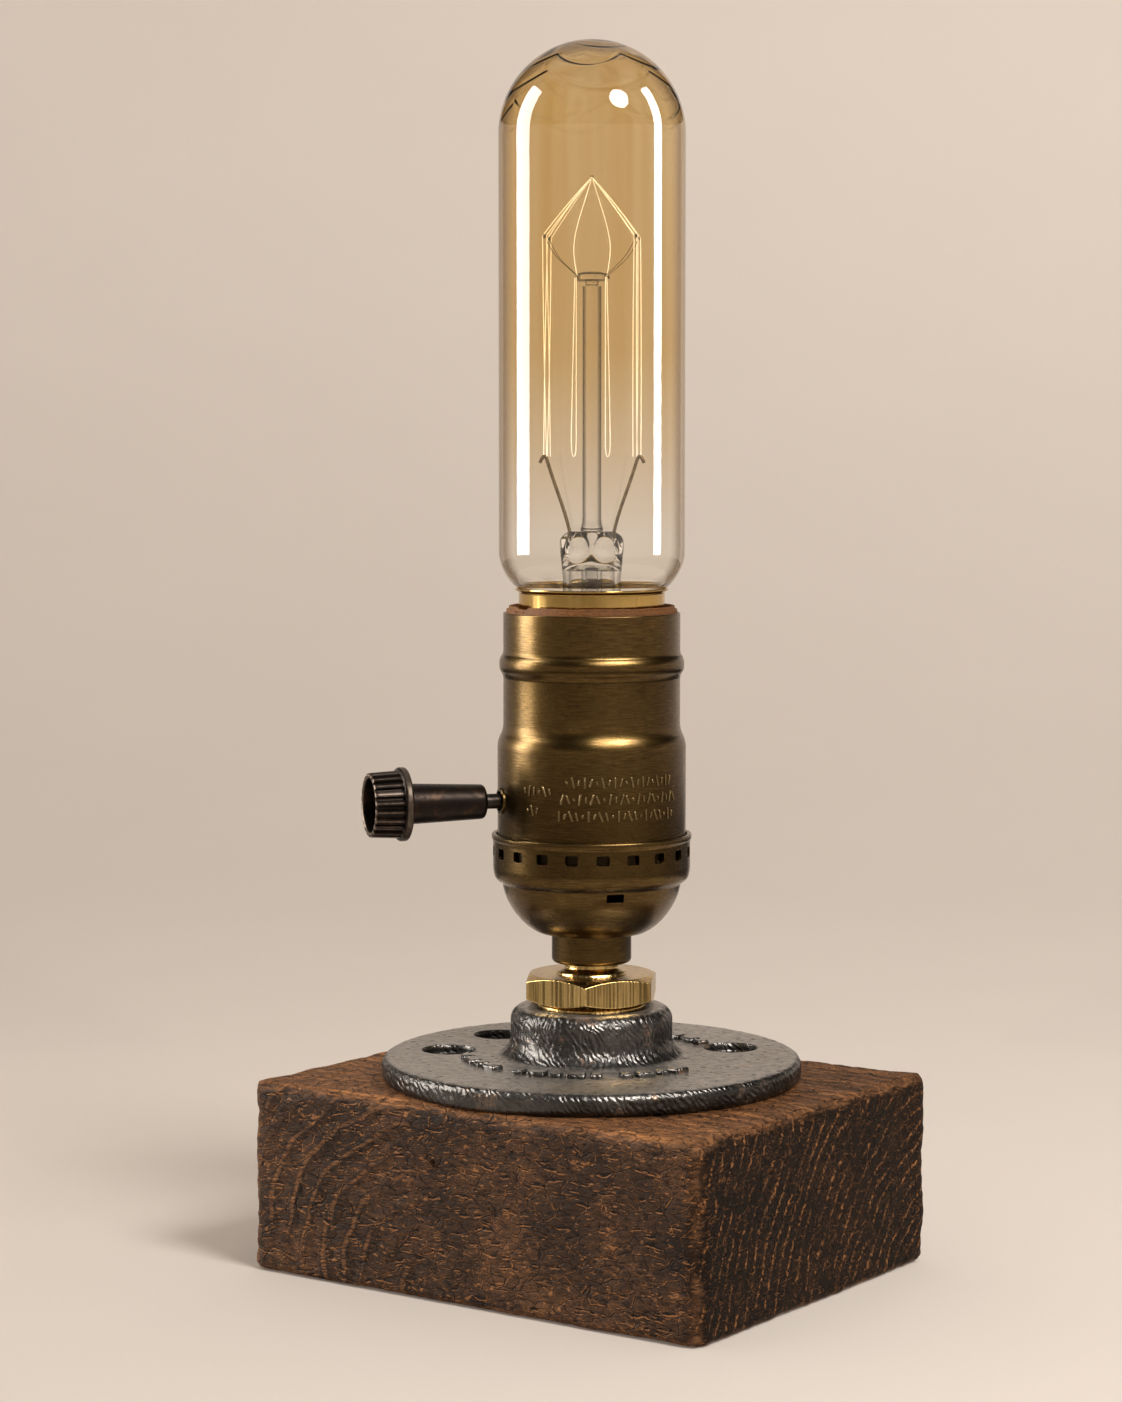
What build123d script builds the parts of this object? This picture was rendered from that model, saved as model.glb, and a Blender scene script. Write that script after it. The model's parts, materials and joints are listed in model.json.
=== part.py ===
"""Bedside lamp: a tubular filament bulb in a brass turn-knob socket, on an iron pipe flange and a wooden block.

Millimetres, +Z up. The origin is the centre of the block's underside and the lamp's axis is Z.
Bearings are degrees about Z from +X. Heights stack upward from the block, each piece from the one that carries it.
"""

import os
from math import atan, atan2, cos, radians, sin, sqrt

from build123d import *

# Driving dimensions: wooden block
BASE_LENGTH = 101.0
BASE_WIDTH = 80.5
BASE_HEIGHT = 36.0
BASE_CORNER_R = 3.0
BASE_TOP_R = 2.6
BASE_FOOT_R = 1.2
CORD_BORE_R = 4.0
CORD_BORE_RISE = 12.0
WIRE_SHAFT_R = 6.0
WIRE_SHAFT_SUMP = 1.0

# Driving dimensions: floor flange and its screws
FLANGE_D = 79.0
FLANGE_RIM_T = 4.2
FLANGE_RIM_R = 1.5
FLANGE_HEIGHT = 13.7
HUB_D = 30.4
HUB_TOP_R = 2.4
HUB_FOOT_R = 4.0
PIPE_BORE_D = 20.6
SCREW_BEARINGS = (50.0, 165.0, 205.0)
SCREW_EDGE = 12.0
SCREW_SHANK_D = 4.2
SCREW_HEAD_D = 9.0
SCREW_HEAD_SINK = 1.6
SCREW_LENGTH = 22.0
SCREW_SLOT = 1.0
SCREW_HOLE_PLAY = 0.9

# Driving dimensions: hex bushing and lamp nipple
HEX_FLATS = 23.4
HEX_HEIGHT = 5.2
HEX_CHAMFER = 1.5
HEX_CHAMFER_SLOPE = 0.5
BUSHING_STANDOFF = 0.9
SPIGOT_LENGTH = 9.0
SPIGOT_GROOVE = 0.6
NIPPLE_D = 10.0
NIPPLE_BORE_D = 6.6
NIPPLE_SHOW = 2.1
NIPPLE_IN_BUSHING = 9.5
NIPPLE_IN_CAP = 5.2
THREAD_FIT = 0.06

# Driving dimensions: socket cap
CAP_WALL = 0.6
NECK_D = 15.0
NECK_HEIGHT = 5.7
NECK_EDGE_R = 0.7
BOWL_FLOOR_D = 18.8
BOWL_D = 33.6
BOWL_HEIGHT = 9.5
BOWL_BELLY_OUT = 0.62
BOWL_BELLY_UP = 0.38
RING_D = 37.0
RING_FLARE = 2.4
FLARE_BELLY_OUT = 0.62
FLARE_BELLY_UP = 0.36
RING_STEP = 1.0
RING_HEIGHT = 6.8
RIM_LIP = 0.25
RIM_LIP_HEIGHT = 1.0
WINDOW_COUNT = 20
WINDOW_START = 5.3
WINDOW_WIDTH = 2.4
WINDOW_HEIGHT = 1.9
WINDOW_DROP = 3.2
PRY_SLOT_BEARING = -39.9
PRY_SLOT_WIDTH = 3.3
PRY_SLOT_HEIGHT = 1.6
PRY_SLOT_DROP = 1.2
SET_SCREW_BEARING = 125.0
SET_SCREW_D = 3.2
SET_SCREW_PROUD = 0.5
SET_SCREW_SLOT = 0.6

# Driving dimensions: socket shell and its liner
SHELL_WALL = 0.5
SHELL_CAP_GAP = 0.25
SHELL_LOWER_HEIGHT = 23.2
SHOULDER_HEIGHT = 4.2
SHOULDER_STEP = 0.6
SHELL_UPPER_D = 33.1
SHELL_UPPER_HEIGHT = 20.8
BEAD_DROP = 9.6
BEAD_HEIGHT = 4.0
BEAD_PROUD = 0.75
LINER_GAP = 0.1
LINER_PLAY = 0.3
LINER_WALL = 0.9
LINER_PROUD = 0.7
LINER_STEP = 0.6
SPINDLE_HOLE_PLAY = 0.5
SPINDLE_LIP_WALL = 0.6
SPINDLE_LIP_PROUD = 0.4

# Driving dimensions: socket interior
BODY_SEAT_GAP = 0.4
BODY_SEAT_T = 3.0
BODY_D = 28.0
TERMINAL_FLAT = 11.0
SCREW_SHELL_WALL = 0.5
SCREW_SHELL_PLAY = 0.4
SCREW_SHELL_TOP_GAP = 0.5
CONTACT_HOLE_D = 12.0
CONTACT_T = 0.4
CONTACT_WIDTH = 5.0
CONTACT_LENGTH = 10.0
CONTACT_RISE = 0.9
RIVET_D = 3.0
RIVET_HEAD_D = 4.6
RIVET_HEAD_T = 0.6
RIVET_LENGTH = 5.0
RIVET_RADIUS = 8.5
TERMINAL_T = 0.8
TERMINAL_WIDTH = 9.0
TERMINAL_LOW = 2.6
LIVE_TERMINAL_HEIGHT = 9.0
TERMINAL_SCREW_D = 3.4
TERMINAL_HEAD_D = 6.4
TERMINAL_HEAD_T = 1.9
TERMINAL_SCREW_DEPTH = 4.0
TERMINAL_SCREW_RISE = 4.0

# Driving dimensions: rotary switch and its knob
KNOB_BEARING = 232.3
KNOB_RISE = 14.7
SPINDLE_D = 2.8
SPINDLE_FIT = 0.06
SPINDLE_SHOW = 3.3
SPINDLE_IN_KNOB = 8.0
SPINDLE_TAIL = 3.0
ROTOR_SIDE = 7.0
ROTOR_LENGTH = 9.0
ROTOR_EDGE = 0.8
POCKET_HALF = 6.0
POCKET_END_PLAY = 0.6
SWITCH_LEAF_T = 0.5
SWITCH_LEAF_WIDTH = 5.0
SWITCH_COVER_T = 0.8
SWITCH_COVER_D = 26.0
KNOB_TIP_D = 6.4
KNOB_ROOT_D = 7.6
KNOB_BARREL_LENGTH = 15.0
KNOB_FLANGE_D = 13.7
KNOB_FLANGE_T = 1.5
KNOB_FLANGE_R = 0.4
KNOB_HEAD_D = 12.5
KNOB_FACE_D = 11.9
KNOB_HEAD_LENGTH = 5.6
KNOB_CUP_WALL = 0.9
KNOB_CUP_DEPTH = 4.4
KNOB_RIB_COUNT = 22
KNOB_GROOVE_WIDTH = 0.85
KNOB_GROOVE_DEPTH = 0.5
KNOB_EDGE_R = 0.7

# Driving dimensions: bulb
BULB_CONTACT_GAP = 0.3
BULB_TIP_D = 9.4
BULB_TIP_T = 1.4
BULB_TURN_PLAY = 0.1
INSULATOR_FOOT_D = 11.0
INSULATOR_HEIGHT = 3.4
SCREW_BASE_D = 26.0
SCREW_BASE_WALL = 0.4
SCREW_BASE_HEIGHT = 21.5
SCREW_BASE_ROLL = 1.0
COLLAR_SHOW = 0.1
COLLAR_PROUD = 0.65
COLLAR_HEIGHT = 4.4
COLLAR_STEP = 1.1
COLLAR_LIP_PROUD = 0.75
COLLAR_LIP_HEIGHT = 0.6
GLASS_WALL = 0.8
BULB_D = 34.7
BULB_LENGTH = 128.2
BULB_SHOULDER = 8.0
NECK_GLASS_DEPTH = 11.0
CEMENT_DEPTH = 5.0
CEMENT_WALL = 0.4
CEMENT_FIT = 0.05

# Driving dimensions: glass stem, supports and filament, heights above the bulb's tip
STEM_PRESS_RISE = 37.6
STEM_PRESS_HEIGHT = 7.0
STEM_PRESS_WIDTH = 12.0
STEM_PRESS_DEPTH = 5.2
STEM_TUBE_D = 11.0
STEM_WALL = 1.0
EXHAUST_D = 4.0
EXHAUST_WALL = 0.8
EXHAUST_LENGTH = 20.0
ROD_D = 3.6
ROD_LENGTH = 45.4
BUTTON_D = 5.0
BUTTON_HEIGHT = 2.6
FILAMENT_BEARING = 30.3
APEX_RISE = 103.0
ARCH_HALF = 2.9
ARCH_SPRING = 9.0
HOOK_RISE = 92.0
HOOK_HALF = 8.4
HOOK_DEPTH = 4.5
LEAD_D = 0.7
LEAD_FOOT_HALF = 3.9
LEAD_RISE = 51.0
LEAD_HOOK_R = 0.8
SUPPORT_D = 0.36
FILAMENT_D = 0.26
FILAMENT_BEND_R = 0.5
FILAMENT_GAP = 0.1
STRAND_SPACING = 1.5
MID_LOOP_OFFSET = 2.7

# Heights that follow from the stack
deck_z = BASE_HEIGHT
hub_z = deck_z + FLANGE_HEIGHT
hex_z = hub_z + BUSHING_STANDOFF
hex_top_z = hex_z + HEX_HEIGHT
cap_z = hex_top_z + NIPPLE_SHOW
bowl_z = cap_z + NECK_HEIGHT
crease_z = bowl_z + BOWL_HEIGHT
ring_z = crease_z + RING_FLARE
rim_z = ring_z + RING_HEIGHT
shell_z = ring_z
shoulder_z = shell_z + SHELL_LOWER_HEIGHT
shell_top_z = shoulder_z + SHOULDER_HEIGHT + SHELL_UPPER_HEIGHT
seat_z = crease_z + CAP_WALL + BODY_SEAT_GAP
block_z = seat_z + BODY_SEAT_T
knob_z = seat_z + KNOB_RISE
collar_z = shell_top_z + COLLAR_SHOW
tip_z = collar_z - COLLAR_STEP - SCREW_BASE_HEIGHT
body_top_z = tip_z - BULB_CONTACT_GAP - CONTACT_RISE
lip_z = collar_z + COLLAR_HEIGHT
bulb_top_z = tip_z + BULB_LENGTH
press_z = tip_z + STEM_PRESS_RISE
button_z = press_z + ROD_LENGTH
apex_z = tip_z + APEX_RISE
hook_z = tip_z + HOOK_RISE
lead_z = tip_z + LEAD_RISE

# Radii that follow from a fit
spigot_r = PIPE_BORE_D / 2 - THREAD_FIT
nipple_r = NIPPLE_D / 2
nipple_hole_r = nipple_r + THREAD_FIT
screw_base_r = SCREW_BASE_D / 2
collar_r = screw_base_r + COLLAR_PROUD
collar_lip_r = collar_r + COLLAR_LIP_PROUD
base_insulator_r = screw_base_r - SCREW_BASE_ROLL
cement_r = screw_base_r - SCREW_BASE_WALL - CEMENT_FIT
neck_glass_r = cement_r - CEMENT_WALL - CEMENT_FIT
screw_shell_bore_r = screw_base_r + SCREW_SHELL_PLAY
screw_shell_r = screw_shell_bore_r + SCREW_SHELL_WALL
body_r = BODY_D / 2
bowl_r = BOWL_D / 2
seat_r = bowl_r - CAP_WALL

# The shell is as wide as its contents need or wider, and the cap's ring as wide as the shell and bowl need or wider
liner_room_r = max(body_r, screw_shell_r, collar_r) + LINER_PLAY
shell_upper_r = max(SHELL_UPPER_D / 2, liner_room_r + LINER_WALL + LINER_GAP + SHELL_WALL)
liner_r = shell_upper_r - SHELL_WALL - LINER_GAP
ring_fit = CAP_WALL + SHELL_CAP_GAP
ring_r = max(RING_D / 2, bowl_r + RING_STEP, shell_upper_r + SHOULDER_STEP + ring_fit)
shell_lower_r = ring_r - ring_fit

# Radii that follow from the screws and the spindle
screw_circle_r = FLANGE_D / 2 - SCREW_EDGE
screw_hole_r = (SCREW_SHANK_D + SCREW_HOLE_PLAY) / 2
spindle_hole_r = SPINDLE_D / 2 + SPINDLE_FIT
knob_start = shell_lower_r + SPINDLE_SHOW

knob_frame = Plane(
    origin=(0, 0, knob_z),
    x_dir=(0, 0, 1),
    z_dir=(cos(radians(KNOB_BEARING)), sin(radians(KNOB_BEARING)), 0),
)
side_bearings = (KNOB_BEARING + 90, KNOB_BEARING - 90)


def turned(half_section):
    """Solid of revolution about Z from a closed line drawn in (radius, height)."""
    return revolve(Plane.XZ * make_face(half_section), Axis.Z)


def tube(outer_r, inner_r, low, high):
    """Round tube about Z between two heights."""
    return turned(Polyline((inner_r, low), (outer_r, low), (outer_r, high), (inner_r, high), close=True))


def rod(radius, low, high):
    """Round bar about Z between two heights."""
    return Pos(0, 0, low) * Cylinder(radius, high - low, align=(Align.CENTER, Align.CENTER, Align.MIN))


def radial_rod(bearing, height, radius, inner, outer):
    """Round bar that points away from the lamp's axis along a bearing."""
    frame = Plane(origin=(0, 0, height), x_dir=(0, 0, 1), z_dir=(cos(radians(bearing)), sin(radians(bearing)), 0))
    return frame * rod(radius, inner, outer)


def radial_box(bearing, height, width, tall, inner, outer):
    """Block that reaches from one radius to another along a bearing, centred on a height."""
    block = Pos(inner, 0, height) * Box(outer - inner, width, tall, align=(Align.MIN, Align.CENTER, Align.CENTER))
    return Rot(0, 0, bearing) * block


def s_curve(lower, upper):
    """Two equal arcs from one vertical wall to another, with both ends vertical."""
    (lower_r, lower_z), (upper_r, upper_z) = lower, upper
    step, rise = lower_r - upper_r, upper_z - lower_z
    turn = 2 * atan(step / rise)
    bend = rise / 2 / sin(turn)
    middle = ((lower_r + upper_r) / 2, (lower_z + upper_z) / 2)
    low_mid = (lower_r - bend * (1 - cos(turn / 2)), lower_z + bend * sin(turn / 2))
    high_mid = (upper_r + bend * (1 - cos(turn / 2)), upper_z - bend * sin(turn / 2))
    return ThreePointArc(lower, low_mid, middle) + ThreePointArc(middle, high_mid, upper)


def pressed_sheet(wall_line, start, end, wall):
    """Spun sheet-metal tube: an outer wall line turned about Z, less the same line set in by the wall."""
    over = 2 * wall
    below = (start[0], start[1] - over)
    above = (end[0], end[1] + over)
    solid = turned(wall_line + Polyline(end, (0, end[1]), (0, start[1]), start))
    longer = Line(below, start) + wall_line + Line(end, above)
    core = make_face(longer + Polyline(above, (-wall, above[1]), (-wall, below[1]), below))
    return solid - revolve(Plane.XZ * offset(core, -wall), Axis.Z)


def wire(points, diameter, bend_r):
    """Thin round wire along straight runs joined by small tangent arcs."""
    path = FilletPolyline(*points, radius=bend_r) if len(points) > 2 else Line(*points)
    return sweep(Plane(path @ 0, z_dir=path % 0) * Circle(diameter / 2), path)


def in_bulb(across, depth, height):
    """Point in the bulb from its offset along the filament's plane, its offset behind that plane and its height."""
    turn = radians(FILAMENT_BEARING)
    return (across * cos(turn) - depth * sin(turn), across * sin(turn) + depth * cos(turn), height)


# Wooden block
def wood_base():
    block = Box(BASE_LENGTH, BASE_WIDTH, BASE_HEIGHT, align=(Align.CENTER, Align.CENTER, Align.MIN))
    block = fillet(block.edges().filter_by(Axis.Z), BASE_CORNER_R)
    block = fillet(block.faces().sort_by(Axis.Z)[-1].edges(), BASE_TOP_R)
    block = fillet(block.faces().sort_by(Axis.Z)[0].edges(), BASE_FOOT_R)
    block -= rod(WIRE_SHAFT_R, CORD_BORE_RISE - CORD_BORE_R - WIRE_SHAFT_SUMP, BASE_HEIGHT)
    cord_frame = Plane(origin=(0, 0, CORD_BORE_RISE), x_dir=(1, 0, 0), z_dir=(0, 1, 0))
    block -= cord_frame * rod(CORD_BORE_R, 0, BASE_WIDTH / 2)
    pilot_r = SCREW_SHANK_D / 2 + THREAD_FIT
    pilot_z = screw_head_z() - SCREW_LENGTH - THREAD_FIT
    for bearing in SCREW_BEARINGS:
        block -= at_screw(bearing) * rod(pilot_r, pilot_z, BASE_HEIGHT)
    return block


# Floor flange: a cast disc with a filleted hub, a pipe bore and countersunk screw holes
def at_screw(bearing):
    return Rot(0, 0, bearing) * Pos(screw_circle_r, 0, 0)


def screw_head_z():
    return deck_z + FLANGE_RIM_T - SCREW_HEAD_SINK


def countersink_height():
    return (SCREW_HEAD_D - SCREW_SHANK_D) / 2


def floor_flange():
    rim_r = FLANGE_D / 2
    hub_r = HUB_D / 2
    bore_r = PIPE_BORE_D / 2
    rim_top = deck_z + FLANGE_RIM_T
    section = make_face(
        Polyline(
            (bore_r, deck_z),
            (rim_r, deck_z),
            (rim_r, rim_top),
            (hub_r, rim_top),
            (hub_r, hub_z),
            (bore_r, hub_z),
            close=True,
        )
    )
    corners = section.vertices()
    section = fillet(corners.filter_by_position(Axis.X, rim_r - 0.01, rim_r + 0.01), FLANGE_RIM_R)
    foot = section.vertices().sort_by_distance((hub_r, rim_top))[0]
    section = fillet(foot, HUB_FOOT_R)
    crown = section.vertices().sort_by_distance((hub_r, hub_z))[0]
    section = fillet(crown, HUB_TOP_R)
    flange = revolve(Plane.XZ * section, Axis.Z)
    head_z = screw_head_z()
    sink_r = SCREW_HEAD_D / 2 + SCREW_HOLE_PLAY / 2
    sink_low = head_z - countersink_height()
    hole = turned(
        Polyline(
            (0, deck_z),
            (screw_hole_r, deck_z),
            (screw_hole_r, sink_low),
            (sink_r, head_z),
            (sink_r, rim_top),
            (0, rim_top),
            close=True,
        )
    )
    for bearing in SCREW_BEARINGS:
        flange -= at_screw(bearing) * hole
    return flange


def flange_screws():
    head_z = screw_head_z()
    head_r = SCREW_HEAD_D / 2
    shank_r = SCREW_SHANK_D / 2
    neck_z = head_z - countersink_height()
    point_z = head_z - SCREW_LENGTH
    taper_z = point_z + SCREW_SHANK_D
    screw = turned(
        Polyline(
            (0, point_z),
            (shank_r, taper_z),
            (shank_r, neck_z),
            (head_r, head_z),
            (0, head_z),
            close=True,
        )
    )
    slot = Pos(0, 0, head_z) * Box(SCREW_HEAD_D * 2, SCREW_SLOT, SCREW_SLOT * 2)
    screw -= slot
    return Compound(children=[at_screw(bearing) * screw for bearing in SCREW_BEARINGS])


# Hex bushing: a chamfered hexagon on a grooved pipe-thread spigot
def hex_bushing():
    corner_r = HEX_FLATS / sqrt(3)
    hexagon = Pos(0, 0, hex_z) * extrude(RegularPolygon(corner_r, 6), HEX_HEIGHT)
    flat_r = HEX_FLATS / 2
    spread = corner_r - flat_r + HEX_CHAMFER
    drop = spread * HEX_CHAMFER_SLOPE
    turned_blank = turned(
        Polyline(
            (0, hex_z),
            (flat_r - HEX_CHAMFER / 2, hex_z),
            (flat_r - HEX_CHAMFER / 2 + spread, hex_z + drop),
            (flat_r - HEX_CHAMFER / 2 + spread, hex_top_z - drop),
            (flat_r - HEX_CHAMFER / 2, hex_top_z),
            (0, hex_top_z),
            close=True,
        )
    )
    groove_r = spigot_r - SPIGOT_GROOVE
    groove_z = hex_z - BUSHING_STANDOFF / 2
    foot_z = hex_z - SPIGOT_LENGTH
    spigot = turned(
        Polyline(
            (0, foot_z),
            (spigot_r - SPIGOT_GROOVE, foot_z),
            (spigot_r, foot_z + SPIGOT_GROOVE),
            (spigot_r, groove_z),
            (groove_r, hex_z),
            (0, hex_z),
            close=True,
        )
    )
    return (hexagon & turned_blank) + spigot - rod(nipple_hole_r, foot_z, hex_top_z)


def lamp_nipple():
    low = hex_top_z - NIPPLE_IN_BUSHING
    high = cap_z + NIPPLE_IN_CAP
    return tube(nipple_r, NIPPLE_BORE_D / 2, low, high)


# Socket cap: a spun bowl and ring with crimp windows, on a turned neck
def cap_line():
    floor_r = BOWL_FLOOR_D / 2
    bowl_mid = (floor_r + (bowl_r - floor_r) * BOWL_BELLY_OUT, bowl_z + BOWL_HEIGHT * BOWL_BELLY_UP)
    flare_mid = (bowl_r + (ring_r - bowl_r) * FLARE_BELLY_OUT, crease_z + RING_FLARE * FLARE_BELLY_UP)
    return (
        Line((0, bowl_z), (floor_r, bowl_z))
        + ThreePointArc((floor_r, bowl_z), bowl_mid, (bowl_r, crease_z))
        + ThreePointArc((bowl_r, crease_z), flare_mid, (ring_r, ring_z))
        + Line((ring_r, ring_z), (ring_r, rim_z))
    )


def socket_cap():
    line = cap_line()
    over = 2 * CAP_WALL
    bowl = turned(line + Polyline((ring_r, rim_z), (0, rim_z), (0, bowl_z)))
    core_edge = Polyline(
        (ring_r, rim_z), (ring_r, rim_z + over), (-CAP_WALL, rim_z + over), (-CAP_WALL, bowl_z), (0, bowl_z)
    )
    bowl -= revolve(Plane.XZ * offset(make_face(line + core_edge), -CAP_WALL), Axis.Z)
    neck_r = NECK_D / 2
    neck = turned(
        Polyline(
            (0, cap_z),
            (neck_r - NECK_EDGE_R, cap_z),
            (neck_r, cap_z + NECK_EDGE_R),
            (neck_r, bowl_z),
            (0, bowl_z),
            close=True,
        )
    )
    lip_low = rim_z - RIM_LIP_HEIGHT
    lip_in = ring_r - CAP_WALL / 2
    lip = turned(
        ThreePointArc((ring_r, lip_low), (ring_r + RIM_LIP, (lip_low + rim_z) / 2), (ring_r, rim_z))
        + Polyline((ring_r, rim_z), (lip_in, rim_z), (lip_in, lip_low), (ring_r, lip_low))
    )
    cap = bowl + lip + neck - rod(nipple_hole_r, cap_z, bowl_z + CAP_WALL)
    window_z = rim_z - WINDOW_DROP
    for index in range(WINDOW_COUNT):
        bearing = WINDOW_START + index * 360 / WINDOW_COUNT
        cap -= radial_box(bearing, window_z, WINDOW_WIDTH, WINDOW_HEIGHT, ring_r - over, ring_r + over)
    pry_z = crease_z - PRY_SLOT_DROP
    cap -= radial_box(PRY_SLOT_BEARING, pry_z, PRY_SLOT_WIDTH, PRY_SLOT_HEIGHT, BOWL_FLOOR_D / 2, ring_r)
    return cap - radial_rod(
        SET_SCREW_BEARING, cap_z + NECK_HEIGHT / 2, SET_SCREW_D / 2 + THREAD_FIT, 0, NECK_D
    )


def cap_set_screw():
    height = cap_z + NECK_HEIGHT / 2
    outer = NECK_D / 2 + SET_SCREW_PROUD
    screw = radial_rod(SET_SCREW_BEARING, height, SET_SCREW_D / 2, nipple_hole_r, outer)
    slot = radial_box(SET_SCREW_BEARING, height, SET_SCREW_SLOT, SET_SCREW_D * 2, outer - SET_SCREW_SLOT, outer + 1)
    return screw - slot


# Socket shell and its two-wrap insulating liner, both pierced for the spindle
def spindle_hole(inner, outer):
    return radial_rod(KNOB_BEARING, knob_z, SPINDLE_D / 2 + SPINDLE_HOLE_PLAY, inner, outer)


def socket_shell():
    bead_z = shell_top_z - BEAD_DROP
    upper_z = shoulder_z + SHOULDER_HEIGHT
    start = (shell_lower_r, shell_z)
    end = (shell_upper_r, shell_top_z)
    bead_low = (shell_upper_r, bead_z - BEAD_HEIGHT / 2)
    bead_high = (shell_upper_r, bead_z + BEAD_HEIGHT / 2)
    line = (
        Line(start, (shell_lower_r, shoulder_z))
        + s_curve((shell_lower_r, shoulder_z), (shell_upper_r, upper_z))
        + Line((shell_upper_r, upper_z), bead_low)
        + ThreePointArc(bead_low, (shell_upper_r + BEAD_PROUD, bead_z), bead_high)
        + Line(bead_high, end)
    )
    shell = pressed_sheet(line, start, end, SHELL_WALL)
    lip_r = SPINDLE_D / 2 + SPINDLE_HOLE_PLAY + SPINDLE_LIP_WALL
    lip_end = shell_lower_r + SPINDLE_LIP_PROUD
    shell += radial_rod(KNOB_BEARING, knob_z, lip_r, shell_lower_r - SHELL_WALL, lip_end)
    return shell - spindle_hole(shell_upper_r - 2 * SHELL_WALL, lip_end)


def shell_liner():
    inner_r = liner_r - LINER_WALL
    wrap_r = liner_r - LINER_WALL / 2
    outer_top = shell_top_z + LINER_PROUD
    liner = turned(
        Polyline(
            (inner_r, block_z),
            (liner_r, block_z),
            (liner_r, outer_top),
            (wrap_r, outer_top),
            (wrap_r, outer_top + LINER_STEP),
            (inner_r, outer_top + LINER_STEP),
            close=True,
        )
    )
    return liner - spindle_hole(inner_r - LINER_WALL, liner_r + LINER_WALL)


# Socket interior: the moulded insulator, screw shell, contacts and terminals
def pocket_length():
    return ROTOR_LENGTH + 2 * POCKET_END_PLAY


def insulator_body():
    body = rod(seat_r, seat_z, block_z) + rod(body_r, block_z, body_top_z)
    for bearing in side_bearings:
        body -= radial_box(bearing, (block_z + body_top_z) / 2, BODY_D, body_top_z - block_z, TERMINAL_FLAT, BODY_D)
        body -= radial_rod(
            bearing,
            block_z + TERMINAL_LOW + TERMINAL_SCREW_RISE,
            TERMINAL_SCREW_D / 2 + THREAD_FIT,
            TERMINAL_FLAT - TERMINAL_SCREW_DEPTH,
            TERMINAL_FLAT,
        )
        body -= at_rivet(bearing) * rod(RIVET_D / 2 + THREAD_FIT, body_top_z - RIVET_LENGTH, body_top_z)
    ceiling = knob_z + POCKET_HALF
    pocket = Pos(0, 0, seat_z) * Box(
        pocket_length(), 2 * POCKET_HALF, ceiling - seat_z, align=(Align.CENTER, Align.CENTER, Align.MIN)
    )
    body -= Rot(0, 0, KNOB_BEARING) * pocket
    return body - knob_frame * rod(spindle_hole_r, -pocket_length() / 2 - SPINDLE_TAIL, BODY_D)


def switch_cover():
    return tube(SWITCH_COVER_D / 2, CORD_BORE_R, seat_z - SWITCH_COVER_T, seat_z)


def at_rivet(bearing):
    return Rot(0, 0, bearing) * Pos(RIVET_RADIUS, 0, 0)


def screw_shell():
    floor_z = body_top_z + SCREW_SHELL_WALL
    top_z = tip_z + SCREW_BASE_HEIGHT - SCREW_SHELL_TOP_GAP
    shell = turned(
        Polyline(
            (CONTACT_HOLE_D / 2, body_top_z),
            (screw_shell_r, body_top_z),
            (screw_shell_r, top_z),
            (screw_shell_bore_r, top_z),
            (screw_shell_bore_r, floor_z),
            (CONTACT_HOLE_D / 2, floor_z),
            close=True,
        )
    )
    for bearing in side_bearings:
        shell -= at_rivet(bearing) * rod(RIVET_D / 2 + THREAD_FIT, body_top_z, floor_z)
    return shell


def screw_shell_rivets():
    floor_z = body_top_z + SCREW_SHELL_WALL
    rivet = rod(RIVET_D / 2, body_top_z - RIVET_LENGTH, floor_z)
    rivet += rod(RIVET_HEAD_D / 2, floor_z, floor_z + RIVET_HEAD_T)
    return Compound(children=[at_rivet(bearing) * rivet for bearing in side_bearings])


def centre_contact():
    half = CONTACT_LENGTH / 2
    crest = CONTACT_RISE
    strip = make_face(
        Polyline(
            (-half, 0),
            (half * 0.1, 0),
            (half * 0.5, crest - CONTACT_T),
            (half, crest - CONTACT_T),
            (half, crest),
            (half * 0.4, crest),
            (-half * 0.1, CONTACT_T),
            (-half, CONTACT_T),
            close=True,
        )
    )
    frame = Plane(origin=(0, 0, body_top_z), x_dir=(1, 0, 0), z_dir=(0, -1, 0))
    return Rot(0, 0, KNOB_BEARING) * extrude(frame * strip, CONTACT_WIDTH / 2, both=True)


def terminal_plate(bearing, height):
    low = block_z + TERMINAL_LOW
    plate = radial_box(
        bearing, low + height / 2, TERMINAL_WIDTH, height, TERMINAL_FLAT, TERMINAL_FLAT + TERMINAL_T
    )
    hole_r = TERMINAL_SCREW_D / 2 + THREAD_FIT
    return plate - radial_rod(bearing, low + TERMINAL_SCREW_RISE, hole_r, 0, BODY_D)


def neutral_terminal():
    return terminal_plate(side_bearings[0], body_top_z - block_z - TERMINAL_LOW)


def live_terminal():
    return terminal_plate(side_bearings[1], LIVE_TERMINAL_HEIGHT)


def terminal_screw(bearing):
    height = block_z + TERMINAL_LOW + TERMINAL_SCREW_RISE
    face = TERMINAL_FLAT + TERMINAL_T
    screw = radial_rod(bearing, height, TERMINAL_SCREW_D / 2, TERMINAL_FLAT - TERMINAL_SCREW_DEPTH, face)
    screw += radial_rod(bearing, height, TERMINAL_HEAD_D / 2, face, face + TERMINAL_HEAD_T)
    slot_depth = TERMINAL_HEAD_T / 2
    return screw - radial_box(
        bearing, height, TERMINAL_HEAD_D * 2, SCREW_SLOT, face + slot_depth, face + TERMINAL_HEAD_T
    )


def neutral_terminal_screw():
    return terminal_screw(side_bearings[0])


def live_terminal_screw():
    return terminal_screw(side_bearings[1])


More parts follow.
